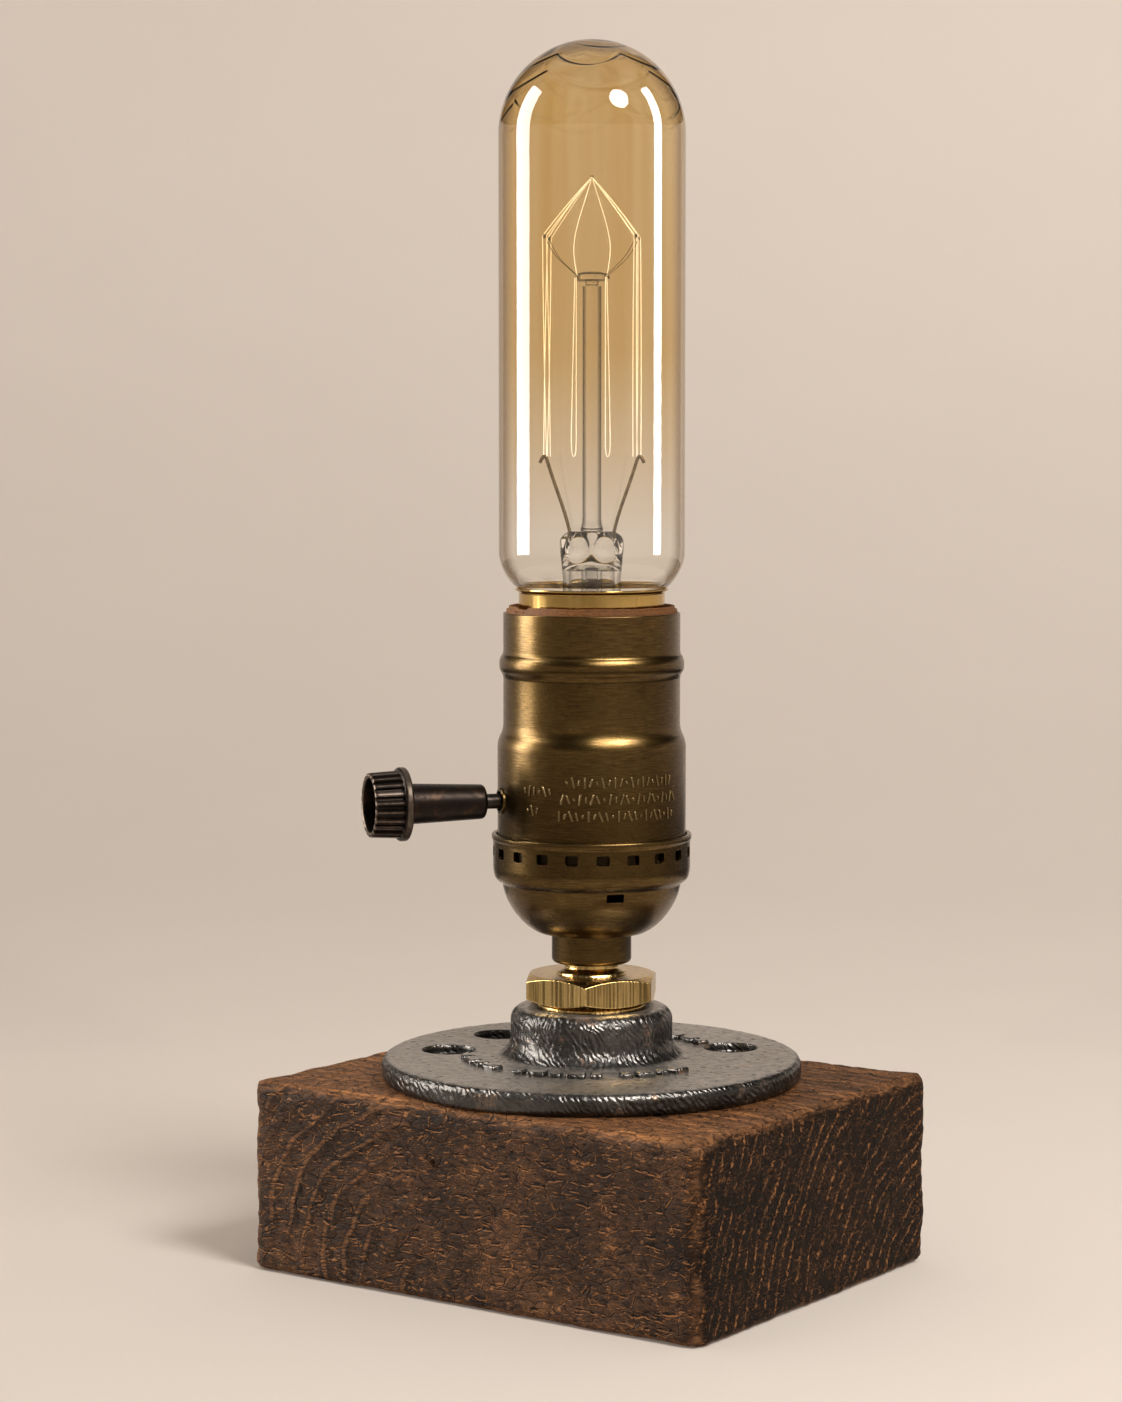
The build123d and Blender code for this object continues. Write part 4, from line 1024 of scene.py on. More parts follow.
def hexagon_bushing():
    hex_foot = node_top("floor_flange") + HEX_GAP
    hex_top = node_top("hex_bushing")
    foot = node_foot("hex_bushing")
    corner = HEX_FLATS / math.sqrt(3)
    flat = HEX_FLATS / 2
    turn = Matrix.Rotation(math.radians(30), 4, "Z")
    hexagon = rod(corner, hex_top - hex_foot, lifted((hex_top + hex_foot) / 2) @ turn, 6)
    obj = mesh_object(hexagon, "hexagon_bushing")
    face = flat - HEX_CHAMFER
    spread = corner - flat + HEX_CHAMFER
    drop = spread * HEX_CHAMFER_SLOPE
    blank = turned(
        [
            (0, hex_foot - 1),
            (face, hex_foot),
            (face + spread * 1.05, hex_foot + drop),
            (face + spread * 1.05, hex_top - drop),
            (face, hex_top),
            (0, hex_top + 1),
        ],
        180,
        closed=False,
    )
    carve(obj, blank, "INTERSECT")
    spigot = turned(
        [
            (0, foot),
            (SPIGOT_RADIUS - SPIGOT_EDGE, foot),
            (SPIGOT_RADIUS, foot + SPIGOT_EDGE),
            (SPIGOT_RADIUS, hex_foot - 0.55, 0.2),
            (SPIGOT_RADIUS - SPIGOT_GROOVE, hex_foot - 0.25, 0.15),
            (SPIGOT_RADIUS - SPIGOT_GROOVE, hex_foot + 1),
            (0, hex_foot + 1),
        ],
        120,
        closed=False,
    )
    carve(obj, spigot, "UNION")
    carve(obj, rod(NIPPLE_HOLE, hex_top - foot + 4, lifted((hex_top + foot) / 2), 64))
    soften_edges(obj, 0.14, 20, 3)
    fit_piece(obj, "stand", "polished_brass", "hex_bushing", smooth_angle=30)


def flared_nipple():
    low, high = node_foot("lamp_nipple"), node_top("lamp_nipple")
    seat = node_top("hex_bushing")
    bm = turned(
        [
            (NIPPLE_BORE, low, 0.2),
            (NIPPLE_RADIUS, low, 0.3),
            (NIPPLE_RADIUS, seat),
            (NIPPLE_FLARE, seat),
            (NIPPLE_FLARE - 0.2, seat + 0.45, 0.2),
            (NIPPLE_RADIUS, seat + 0.8, 0.6),
            (NIPPLE_RADIUS, high, 0.3),
            (NIPPLE_BORE, high, 0.2),
        ],
        96,
    )
    obj = mesh_object(bm, "flared_nipple")
    fit_piece(obj, "stand", "polished_brass", "lamp_nipple")


# Socket cap, shell and liner
NECK_RADIUS = 7.5
NECK_HEIGHT = 5.7
BOWL_FLOOR = 9.9
BOWL_RADIUS = 16.8
BOWL_HEIGHT = 9.5
BOWL_BELLY = (15.5, 66.1, 6.2)
BOWL_BELLY_INSIDE = (14.9, 66.6, 5.8)
FLARE_RADIUS = 18.05
FLARE_HEIGHT = 2.4
RING_RADIUS = 18.5
RING_LIP = 0.25
SHEET = 0.6
WINDOW_COUNT = 20
WINDOW_START = 5.3
WINDOW_SIZE = (4.0, 2.4, 1.9)
WINDOW_DROP = 3.2
PRY_SLOT_SIZE = (8.0, 3.3, 1.6)
PRY_SLOT_DROP = 1.2


def pressed_cap():
    foot, rim = node_foot("socket_cap"), node_top("socket_cap")
    floor = foot + NECK_HEIGHT
    crease = floor + BOWL_HEIGHT
    ring = crease + FLARE_HEIGHT
    bm = turned(
        [
            (NIPPLE_HOLE, foot, 0.25),
            (NECK_RADIUS, foot, 0.8),
            (NECK_RADIUS, floor, 0.35),
            (BOWL_FLOOR, floor, 0.35),
            BOWL_BELLY,
            (BOWL_RADIUS, crease, 0.3),
            (FLARE_RADIUS, crease + 0.55, 0.7),
            (RING_RADIUS, ring, 0.7),
            (RING_RADIUS, rim - 1.3, 0.3),
            (RING_RADIUS + RING_LIP, rim - 0.85, 0.25),
            (RING_RADIUS + RING_LIP, rim, 0.28),
            (RING_RADIUS - SHEET, rim, 0.2),
            (RING_RADIUS - SHEET, ring + 0.3, 0.5),
            (BOWL_RADIUS - SHEET, crease + 0.6, 0.4),
            BOWL_BELLY_INSIDE,
            (BOWL_FLOOR, floor + SHEET, 0.3),
            (NIPPLE_HOLE, floor + SHEET),
        ],
        240,
        rounds=8,
    )
    obj = mesh_object(bm, "pressed_cap")
    cuts = bmesh.new()
    for index in range(WINDOW_COUNT):
        bearing = WINDOW_START + index * 360 / WINDOW_COUNT
        add_block(cuts, WINDOW_SIZE, at_bearing(bearing, RING_RADIUS, rim - WINDOW_DROP), 0, 0.35)
    pry_slot = at_bearing(PRY_SLOT_BEARING, BOWL_RADIUS, crease - PRY_SLOT_DROP)
    add_block(cuts, PRY_SLOT_SIZE, pry_slot, 0, 0.2)
    carve(obj, cuts)
    soften_edges(obj, 0.09, 45, 2)
    fit_piece(obj, "stand", "antique_brass", "socket_cap", smooth_angle=40)


SHELL_LOWER = 17.65
SHELL_UPPER = 16.55
SHELL_WALL = 0.5
SHOULDER_RISE = 23.2
BEAD_PROUD = 0.75
BEAD_DROP = 9.6
SPINDLE_HEIGHT = 88.8
SPINDLE_HOLE = 1.9
SPINDLE_LIP = 2.5
SPINDLE_LIP_PROUD = 0.4


def shell_wall(inset, foot, top):
    """Section line of the shell's outer face, from its foot up, set in by the wall for its inner face."""
    lower, upper = SHELL_LOWER - inset, SHELL_UPPER - inset
    shoulder = foot + SHOULDER_RISE
    bead = top - BEAD_DROP
    crest = upper + BEAD_PROUD
    return [
        (lower, shoulder + 1.0, 1.1),
        (upper, shoulder + 3.2, 1.1),
        (upper, bead - 2.0, 0.7),
        (crest, bead - 1.05, 0.8),
        (crest, bead + 1.05, 0.8),
        (upper, bead + 2.0, 0.7),
    ]


def spun_shell():
    foot, top = node_foot("socket_shell"), node_top("socket_shell")
    outside = [(SHELL_LOWER, foot, 0.2), *shell_wall(0, foot, top), (SHELL_UPPER, top, 0.2)]
    inside = [
        (SHELL_LOWER - SHELL_WALL, foot, 0.15),
        *shell_wall(SHELL_WALL, foot, top),
        (SHELL_UPPER - SHELL_WALL, top, 0.15),
    ]
    obj = mesh_object(turned(outside + inside[::-1], 240, rounds=8), "spun_shell")
    lip_root = SHELL_LOWER - SHELL_WALL * 0.8
    lip_face = SHELL_LOWER + SPINDLE_LIP_PROUD
    lip = turned(
        [(0, lip_root), (SPINDLE_LIP, lip_root), (SPINDLE_LIP, lip_face, 0.25), (0, lip_face)],
        48,
        closed=False,
    )
    hole = rod(SPINDLE_HOLE, 8, lifted(SHELL_LOWER))
    for tool, operation in ((lip, "UNION"), (hole, "DIFFERENCE")):
        move(tool, along_bearing(KNOB_BEARING, SPINDLE_HEIGHT))
        carve(obj, tool, operation)
    fit_piece(obj, "stand", "antique_brass", "socket_shell", smooth_angle=40)


LINER_RADIUS = 15.95
LINER_WALL = 0.9
LINER_STEP = 0.6
FRAY_DROP = 2
FRAY_DEPTH = 0.10
NICK_BEARING = -112.0
NICK_WIDTH = 9.0
NICK_DEPTH = 0.75


def two_wrap_liner():
    foot, top = node_foot("shell_liner"), node_top("shell_liner")
    inner = LINER_RADIUS - LINER_WALL
    wrap = LINER_RADIUS - LINER_WALL / 2
    bm = turned(
        [
            (inner, foot),
            (LINER_RADIUS, foot),
            (LINER_RADIUS, top - LINER_STEP, 0.12),
            (wrap, top - LINER_STEP, 0.08),
            (wrap, top, 0.12),
            (inner, top, 0.12),
        ],
        360,
        rounds=3,
    )
    for vert in bm.verts:
        place = vert.co / MM
        if place.z < top - FRAY_DROP:
            continue
        bearing = math.degrees(math.atan2(place.y, place.x))
        torn = 1 - smooth_step(0.55, 1.0, abs(bearing - NICK_BEARING) / NICK_WIDTH)
        ragged = 0.5 + 0.5 * noise.noise(Vector((bearing * 0.9, place.z, 3.0)))
        frayed = FRAY_DEPTH * noise.fractal(place / 2.5, 1.0, 2.0, 3)
        vert.co.z -= (max(0.0, frayed) + NICK_DEPTH * torn * ragged) * MM
    obj = mesh_object(bm, "two_wrap_liner")
    hole = rod(SPINDLE_HOLE, 6, lifted(LINER_RADIUS))
    move(hole, along_bearing(KNOB_BEARING, SPINDLE_HEIGHT))
    carve(obj, hole)
    fit_piece(obj, "stand", "liner_fibre", "shell_liner")


# Plain raised bars, stamped on the shell and cast on the flange
STAMP_PROUD = 0.2
STAMP_BAR = (0.34, 2.0)
STAMP_LEANS = (-18.0, 14.0, 0.0, 22.0, -10.0)
STAMP_SHARES = (1.0, 0.55, 1.0, 0.3, 0.8)
STAMP_WEAR = 0.6
# Height, first bearing and number of bars of each row
SHELL_STAMPS = (
    (93.4, -70.0, 20),
    (90.3, -73.0, 22),
    (87.2, -75.0, 22),
    (91.6, -99.0, 6),
    (88.0, -97.0, 3),
)
SHELL_STAMP_STEP = 3.6
CAST_PROUD = 0.85
CAST_BAR = (2.6, 3.6)
CAST_SHORT = 0.62
CAST_RING = 23.6
CAST_GROUPS = ((-133.0, 4), (-89.0, 5), (-40.0, 4), (62.0, 3))
CAST_STEP = 9.0


def stamped_bars():
    bm = bmesh.new()
    for height, start, count in SHELL_STAMPS:
        for index in range(count):
            turn = (index * 3 + int(height)) % len(STAMP_LEANS)
            tilt = Matrix.Rotation(math.radians(STAMP_LEANS[turn]), 4, "X")
            place = at_bearing(start + index * SHELL_STAMP_STEP, SHELL_LOWER - STAMP_PROUD, height) @ tilt
            long = STAMP_BAR[1] * STAMP_SHARES[(turn + index) % len(STAMP_SHARES)]
            add_block(bm, (4 * STAMP_PROUD, STAMP_BAR[0], long), place, 0, 0.1)
    wear = bm.verts.layers.float.new("wear")
    for vert in bm.verts:
        radius = vert.co.xy.length / MM
        vert[wear] = STAMP_WEAR * smooth_step(SHELL_LOWER, SHELL_LOWER + STAMP_PROUD, radius)
    obj = mesh_object(bm, "stamped_bars")
    soften_edges(obj, 0.07, 40, 2)
    fit_piece(obj, "stand", "antique_brass")


def cast_bars():
    top = node_foot("floor_flange") + FLANGE_RIM
    bm = bmesh.new()
    for start, count in CAST_GROUPS:
        for index in range(count):
            share = 1.0 if index % 2 else CAST_SHORT
            place = at_bearing(start + index * CAST_STEP, CAST_RING, top)
            add_block(bm, (CAST_BAR[0], CAST_BAR[1] * share, 2 * CAST_PROUD), place, 2, 0.45)
    obj = mesh_object(bm, "cast_bars")
    soften_edges(obj, 0.5, 40, 3)
    fit_piece(obj, "stand", "cast_iron")


# Turn knob
KNOB_START = 20.95
BARREL_LENGTH = 15.0
BARREL_TIP = 3.2
BARREL_ROOT = 3.8
KNOB_FLANGE = 6.85
KNOB_FLANGE_WIDE = 1.5
HEAD_ROOT = 6.25
HEAD_FACE = 5.95
HEAD_LENGTH = 5.6
CUP_RADIUS = 5.05
CUP_DEPTH = 4.4
RIB_COUNT = 22
RIB_DEPTH = 0.55
RIB_WEAR = 0.6
FACE_WEAR = 0.5
FLANGE_WEAR = 0.3
SPINDLE_SOCKET = 1.46
SPINDLE_SOCKET_DEPTH = 8.0


def ribbed_knob():
    flange = KNOB_START + BARREL_LENGTH
    head = flange + KNOB_FLANGE_WIDE
    face = head + HEAD_LENGTH
    socket = KNOB_START + SPINDLE_SOCKET_DEPTH
    ribbed = CUP_RADIUS + 0.2
    bm = turned(
        [
            (0, socket),
            (SPINDLE_SOCKET, socket),
            (SPINDLE_SOCKET, KNOB_START),
            (BARREL_TIP, KNOB_START, 0.75),
            (BARREL_ROOT, flange, 0.5),
            (KNOB_FLANGE, flange, 0.45),
            (KNOB_FLANGE, head, 0.45),
            (HEAD_ROOT, head + 0.2, 0.2),
            (HEAD_FACE, face, 0.4),
            (CUP_RADIUS, face, 0.35),
            (CUP_RADIUS - 0.25, face - CUP_DEPTH, 0.9),
            (0, face - CUP_DEPTH),
        ],
        RIB_COUNT * 8,
        closed=False,
        rounds=5,
        spacing=0.6,
    )
    wear = bm.verts.layers.float.new("wear")
    for vert in bm.verts:
        place = vert.co / MM
        radius = math.hypot(place.x, place.y)
        turn = math.atan2(place.y, place.x)
        if place.z > head - 0.05 and radius > ribbed:
            crest = 0.5 + 0.5 * math.cos(RIB_COUNT * turn)
            inset = RIB_DEPTH * (1 - smooth_step(0.08, 0.5, crest)) * smooth_step(head, head + 0.35, place.z)
            shrink = (radius - inset * smooth_step(ribbed, HEAD_FACE, radius)) / radius
            vert.co.x *= shrink
            vert.co.y *= shrink
            vert[wear] = RIB_WEAR * smooth_step(0.85, 1.0, crest) * smooth_step(head, head + 0.8, place.z)
        if place.z > face - 0.4 and radius < HEAD_FACE + 0.2:
            vert[wear] = max(vert[wear], FACE_WEAR * smooth_step(face - 0.4, face - 0.1, place.z))
        if radius > KNOB_FLANGE - 0.08:
            vert[wear] = FLANGE_WEAR
    move(bm, along_bearing(KNOB_BEARING, SPINDLE_HEIGHT))
    bmesh.ops.recalc_face_normals(bm, faces=bm.faces)
    obj = mesh_object(bm, "ribbed_knob")
    fit_piece(obj, "switch_knob", "dark_bronze", "turn_knob", smooth_angle=50)


# Bulb
BULB_RADIUS = 17.35
GLASS_WALL = 0.8
NECK_GLASS = 12.1
THROAT = 13.75
COLLAR_RADIUS = 13.65
COLLAR_LIP = 14.4
BASE_WALL = 0.4
BASE_FOOT = 11.6
BASE_STEP = 12.55
SCREW_RADIUS = 13.0
SCREW_ROOT = 12.35
SCREW_PITCH = 3.629
SCREW_TURNS = 4
SCREW_STEPS = 96
DOME_RIPPLE = 0.16
RIPPLE_LENGTH = 5.0
RIPPLE_DROP = 6
# Middle and swing of each wavy line in degrees from the dome's top, its waves, its start and its thickness
PETALS = (
    (72.0, 14.0, 2.5, 0.4, 0.17),
    (50.0, 15.0, 2.0, 1.7, 0.16),
    (34.0, 12.0, 2.5, 2.6, 0.15),
    (18.0, 8.0, 1.5, 0.9, 0.14),
)
PETAL_LINE = 1.7


def blown_envelope():
    foot, top = node_foot("glass_envelope"), node_top("glass_envelope")
    lip = node_top("bulb_screw_base")
    inner = BULB_RADIUS - GLASS_WALL
    dome = top - BULB_RADIUS
    bm = turned(
        [
            (0, top),
            (BULB_RADIUS, top, BULB_RADIUS * 0.999, 44),
            (BULB_RADIUS, lip + 2.6, 4.2),
            (THROAT, lip, 1.0),
            (NECK_GLASS, lip - 4.4, 0.4),
            (NECK_GLASS, foot, 0.25),
            (NECK_GLASS - GLASS_WALL, foot, 0.25),
            (NECK_GLASS - GLASS_WALL, lip - 4.2, 0.4),
            (THROAT - GLASS_WALL, lip + 0.4, 1.0),
            (inner, lip + 3.1, 4.0),
            (inner, top - GLASS_WALL, inner * 0.999, 120),
            (0, top - GLASS_WALL),
        ],
        256,
        closed=False,
        rounds=14,
        spacing=4.0,
    )
    for vert in bm.verts:
        place = vert.co / MM
        radius = math.hypot(place.x, place.y)
        from_dome = Vector((place.x, place.y, max(0.0, place.z - dome))).length
        if from_dome > inner + 0.1 or place.z < dome - RIPPLE_DROP:
            continue
        rise = smooth_step(dome - RIPPLE_DROP, top - 4, place.z)
        ripple = DOME_RIPPLE * rise * noise.noise(place / RIPPLE_LENGTH)
        turn = math.atan2(place.y, place.x)
        lean = math.degrees(math.atan2(radius, max(1e-6, place.z - dome)))
        for middle, swing, petals, start, thick in PETALS:
            line = middle + swing * abs(math.cos(petals * turn + start))
            ripple += thick * math.exp(-(((lean - line) / PETAL_LINE) ** 2)) * smooth_step(0, 4, radius)
        vert.co += vert.normal * ripple * MM
    bmesh.ops.recalc_face_normals(bm, faces=bm.faces)
    obj = mesh_object(bm, "blown_envelope")
    fit_piece(obj, "bulb", "amber_glass", "glass_envelope", smooth_angle=80)


def threaded_base():
    foot, lip = node_foot("bulb_screw_base"), node_top("bulb_screw_base")
    collar = lip - 4.4
    step = collar - 1.1
    thread_low = foot + 1.6
    inner = SCREW_ROOT - BASE_WALL
    bm = turned(
        [
            (BASE_FOOT, foot, 0.1),
            (SCREW_ROOT, foot + 0.7, 0.4),
            (SCREW_ROOT, step, 0.3),
            (COLLAR_RADIUS, collar, 0.5),
            (COLLAR_RADIUS, lip - 0.7, 0.25),
            (COLLAR_LIP, lip - 0.25, 0.2),
            (COLLAR_LIP - 0.1, lip, 0.1),
            (COLLAR_RADIUS + 0.2, lip, 0.1),
            (COLLAR_RADIUS - BASE_WALL, lip - 0.6, 0.2),
            (COLLAR_RADIUS - BASE_WALL, collar + 0.2, 0.3),
            (BASE_STEP, collar - 0.1),
            (BASE_STEP, step),
            (inner, step - 0.5),
            (inner, foot + 0.6),
        ],
        160,
        rounds=5,
    )
    obj = mesh_object(bm, "threaded_base")
    thread = bmesh.new()
    draw_section(
        thread,
        [
            (SCREW_ROOT - 0.1, thread_low - 1.2),
            (SCREW_ROOT + 0.05, thread_low - 1.1),
            (SCREW_RADIUS, thread_low, 0.7),
            (SCREW_ROOT + 0.05, thread_low + 1.1),
            (SCREW_ROOT - 0.1, thread_low + 1.2),
        ],
    )
    steps = SCREW_STEPS * SCREW_TURNS
    rise = SCREW_PITCH * SCREW_TURNS
    spin(thread, math.tau * SCREW_TURNS, steps, rise / steps * MM)
    bmesh.ops.edgeloop_fill(thread, edges=[edge for edge in thread.edges if edge.is_boundary])
    bmesh.ops.recalc_face_normals(thread, faces=thread.faces)
    ridge = mesh_object(thread, "base_thread")
    fit_piece(ridge, "bulb", "bulb_brass")
    fit_piece(obj, "bulb", "bulb_brass", "bulb_screw_base", smooth_angle=45)


# Stem, rod, leads and filament, placed across and behind the filament's plane
PRESS_TOP = 138.8
PRESS_HEIGHT = 7.0
PRESS_WIDTH = 12.0
PRESS_PINCH = 0.58
STEM_FLARE = 11.0
STEM_TUBE = 5.3
STEM_WALL = 1.0
LOBE_OFFSET = 2.5
LOBE_DROP = 3.0
LOBE_WIDTH = 1.5
LOBE_HEIGHT = 1.9
LOBE_SWELL = 0.30
ROD_RADIUS = 1.75
BUTTON_FOOT = 184.2
BUTTON_RADIUS = 2.7
BUTTON_MIDDLE = BUTTON_FOOT + 1.6
CLIP_RADIUS = (BUTTON_RADIUS + 0.02, BUTTON_RADIUS + 0.16)
LEAD_RADIUS = 0.34
LEAD_FOOT = 3.9
LEAD_TOP = 152.2
HOOK_HALF = 8.4
HOOK_DEPTH = 4.5
HOOK_HEIGHT = 193.2
APEX_HEIGHT = 204.2
STRAND_RADIUS = 0.09
SUPPORT_RADIUS = 0.07
TIP_RADIUS = 0.26
STRAND_SPREAD = 0.75
PAIR_HALF = 0.34
WIRE_ORDER = 3


def in_bulb(across, depth, height):
    """Place in the frame of a point in mm across and behind the filament's plane."""
    turn = Matrix.Rotation(math.radians(FILAMENT_BEARING), 4, "Z")
    return turn @ (Vector((across, depth, height)) * MM)


def wire_mesh(name, runs, radius):
    """One mesh of round wires that follow smooth lines through lists of control points."""
    line = bpy.data.curves.new(name, "CURVE")
    line.dimensions = "3D"
    line.bevel_depth = radius * MM
    line.bevel_resolution = 3
    line.resolution_u = 8
    line.use_fill_caps = True
    for points in runs:
        spline = line.splines.new("NURBS")
        spline.points.add(len(points) - 1)
        for knot, place in zip(spline.points, points):
            knot.co = (*place, 1)
        spline.order_u = WIRE_ORDER
        spline.use_endpoint_u = True
    drawn = bpy.data.objects.new(name + "_line", line)
    bpy.context.scene.collection.objects.link(drawn)
    bpy.context.view_layer.update()
    mesh = shown_mesh(drawn)
    bpy.data.objects.remove(drawn)
    bpy.data.curves.remove(line)
    mesh.name = name
    obj = bpy.data.objects.new(name, mesh)
    bpy.context.scene.collection.objects.link(obj)
    return obj


def stem_press():
    """Flared stem tube that ends in a pinched press with two round lobes round the leads."""
    foot = node_foot("glass_stem")
    waist = PRESS_TOP - PRESS_HEIGHT
    bm = turned(
        [
            (0, PRESS_TOP),
            (STEM_TUBE, PRESS_TOP, 2.2),
            (STEM_TUBE, waist - 3.5, 3.0),
            (7.0, foot + 2.0, 2.5),
            (STEM_FLARE, foot, 0.3),
            (STEM_FLARE - STEM_WALL, foot, 0.1),
            (6.2, foot + 2.0, 2.5),
            (STEM_TUBE - STEM_WALL, waist - 3.5, 3.0),
            (STEM_TUBE - STEM_WALL, waist, 1.2),
            (2.2, waist + 0.6, 0.6),
            (0, waist + 0.6),
        ],
        96,
        closed=False,
        rounds=10,
        spacing=0.7,
    )
    for vert in bm.verts:
        place = vert.co / MM
        pinch = smooth_step(waist - 4.0, PRESS_TOP - 2.0, place.z)
        place.x *= 1 + (PRESS_WIDTH / 2 / STEM_TUBE - 1) * pinch
        aside = (abs(place.x) - LOBE_OFFSET) / LOBE_WIDTH
        below = (place.z - PRESS_TOP + LOBE_DROP) / LOBE_HEIGHT
        lobe = math.exp(-aside * aside - below * below)
        place.y *= 1 - PRESS_PINCH * pinch + LOBE_SWELL * lobe
        vert.co = in_bulb(place.x, place.y, place.z)
    bmesh.ops.recalc_face_normals(bm, faces=bm.faces)
    obj = mesh_object(bm, "stem_press")
    fit_piece(obj, "bulb", "clear_glass", "glass_stem", smooth_angle=80)


def glass_rod():
    foot, top = PRESS_TOP + 0.05, BUTTON_FOOT - 0.02
    bm = turned(
        [
            (0, foot),
            (ROD_RADIUS + 0.5, foot, 0.4),
            (ROD_RADIUS, PRESS_TOP + 1.6, 0.8),
            (ROD_RADIUS, top),
            (0, top),
        ],
        64,
        closed=False,
        spacing=6,
    )
    obj = mesh_object(bm, "glass_rod")
    fit_piece(obj, "bulb", "clear_glass", "stem_rod", smooth_angle=50, finish="rod_glass")


def glass_button():
    top = node_top("rod_button")
    bm = turned(
        [
            (0, BUTTON_FOOT),
            (1.3, BUTTON_FOOT, 0.5),
            (1.2, BUTTON_FOOT + 0.9, 0.3),
            (BUTTON_RADIUS, BUTTON_FOOT + 1.0, 0.35),
            (BUTTON_RADIUS, top - 0.5, 0.35),
            (BUTTON_RADIUS - 0.8, top, 0.3),
            (0, top),
        ],
        64,
        closed=False,
    )
    obj = mesh_object(bm, "glass_button")
    fit_piece(obj, "bulb", "clear_glass", "rod_button", smooth_angle=50)


def lead_pair():
    runs = []
    for side in (-1, 1):
        top = side * HOOK_HALF
        runs.append(
            [
                in_bulb(side * LEAD_FOOT, 0, PRESS_TOP - 1.5),
                in_bulb(side * (LEAD_FOOT + 0.3), 0, PRESS_TOP + 1.0),
                in_bulb(side * (HOOK_HALF - 0.75), 0, LEAD_TOP - 2.6),
                in_bulb(top, 0, LEAD_TOP - 0.1),
                in_bulb(top + side * 0.25, 0, LEAD_TOP + 0.55),
                in_bulb(top + side * 0.9, 0, LEAD_TOP + 0.45),
                in_bulb(top + side * 1.35, 0, LEAD_TOP - 0.7),
            ]
        )
    obj = wire_mesh("lead_pair", runs, LEAD_RADIUS)
    fit_piece(obj, "bulb", "lead_metal", "lead_wires")


def support_arms():
    """Thin arms from the button to the hooks, the hooks' ends, and the wire clips round the button."""
    runs = []
    ends = [(side * HOOK_HALF, depth * HOOK_DEPTH, HOOK_HEIGHT) for side in (-1, 1) for depth in (-1, 1)]
    for across, depth, height in ends:
        foot = BUTTON_RADIUS / math.hypot(across, depth)
        runs.append(
            [
                in_bulb(across * foot, depth * foot, BUTTON_MIDDLE),
                in_bulb(across * 0.5, depth * 0.5, BUTTON_MIDDLE + 1.6),
                in_bulb(across * 0.85, depth * 0.85, height - 3.0),
                in_bulb(across, depth, height),
            ]
        )
    obj = wire_mesh("support_arms", runs, SUPPORT_RADIUS)
    fit_piece(obj, "bulb", "lead_metal", "filament_supports")
    beads = []
    for across, depth, height in [*ends, (0, 0, APEX_HEIGHT)]:
        beads.append([in_bulb(across, depth, height + rise) for rise in (-0.35, 0.0, 0.3)])
    for side in (-1, 1):
        beads.append([in_bulb(side * (BUTTON_RADIUS + out), 0, BUTTON_MIDDLE) for out in (-0.3, 0.1, 0.6)])
    tips = wire_mesh("hook_tips", beads, TIP_RADIUS)
    fit_piece(tips, "bulb", "lead_metal")
    clips = bmesh.new()
    inner, outer = CLIP_RADIUS
    for height in (BUTTON_FOOT + 1.05, node_top("rod_button") - 0.35):
        ring = turned([(inner, height - 0.1), (outer, height), (inner, height + 0.1)], 64)
        part = bpy.data.meshes.new("clip")
        ring.to_mesh(part)
        ring.free()
        clips.from_mesh(part)
        bpy.data.meshes.remove(part)
    obj = mesh_object(clips, "button_clips")
    fit_piece(obj, "bulb", "lead_metal")


def filament_strands():
    runs = []
    foot = LEAD_TOP + 0.5
    for depth in (-1, 1):
        spread = depth * STRAND_SPREAD
        apex = in_bulb(0, spread * 0.4, APEX_HEIGHT)
        for side in (-1, 1):
            hook = in_bulb(side * HOOK_HALF, depth * HOOK_DEPTH, HOOK_HEIGHT)
            bow = in_bulb(side * HOOK_HALF * 0.54, depth * HOOK_DEPTH * 0.55, HOOK_HEIGHT + 5.6)
            for pair in (-PAIR_HALF, PAIR_HALF):
                beside = in_bulb(pair, 0, 0)
                runs.append([hook + beside, bow + beside, apex])
                low = in_bulb(side * (HOOK_HALF + 0.35 * depth), spread, foot)
                runs.append([low + beside, (low + hook) / 2 + beside * 1.6, hook + beside])
    for side in (-1, 1):
        runs.append(
            [
                in_bulb(side * BUTTON_RADIUS, 0, BUTTON_MIDDLE),
                in_bulb(side * (BUTTON_RADIUS + 0.75), 0, BUTTON_FOOT + 5.0),
                in_bulb(side * (BUTTON_RADIUS + 0.6), 0, BUTTON_FOOT + 9.5),
                in_bulb(side * 1.0, 0, APEX_HEIGHT - 3.2),
                in_bulb(0, 0, APEX_HEIGHT),
            ]
        )
        inner, outer = side * 2.7, side * 3.6
        runs.append(
            [
                in_bulb(inner, -BUTTON_RADIUS, BUTTON_MIDDLE),
                in_bulb(inner, -BUTTON_RADIUS, foot + 6),
                in_bulb(inner, -BUTTON_RADIUS, foot),
                in_bulb(outer, -BUTTON_RADIUS, foot),
                in_bulb(outer, -BUTTON_RADIUS, foot + 6),
                in_bulb(outer * 0.82, -BUTTON_RADIUS, BUTTON_MIDDLE),
            ]
        )
    obj = wire_mesh("filament_strands", runs, STRAND_RADIUS)
    fit_piece(obj, "bulb", "filament_carbon", "filament")


# Pieces
wooden_block()
flange_casting()
hexagon_bushing()
flared_nipple()
pressed_cap()
spun_shell()
two_wrap_liner()
stamped_bars()
cast_bars()
ribbed_knob()
blown_envelope()
threaded_base()
stem_press()
glass_rod()
glass_button()
lead_pair()
support_arms()
filament_strands()

# Finishes of the pieces that keep their solids
for subpart in frame["record"]["subparts"]:
    solid = frame["nodes"][subpart["node"]]
    if not solid.hide_render:
        solid.data.materials.clear()
        solid.data.materials.append(finishes[subpart["material_slot"]])


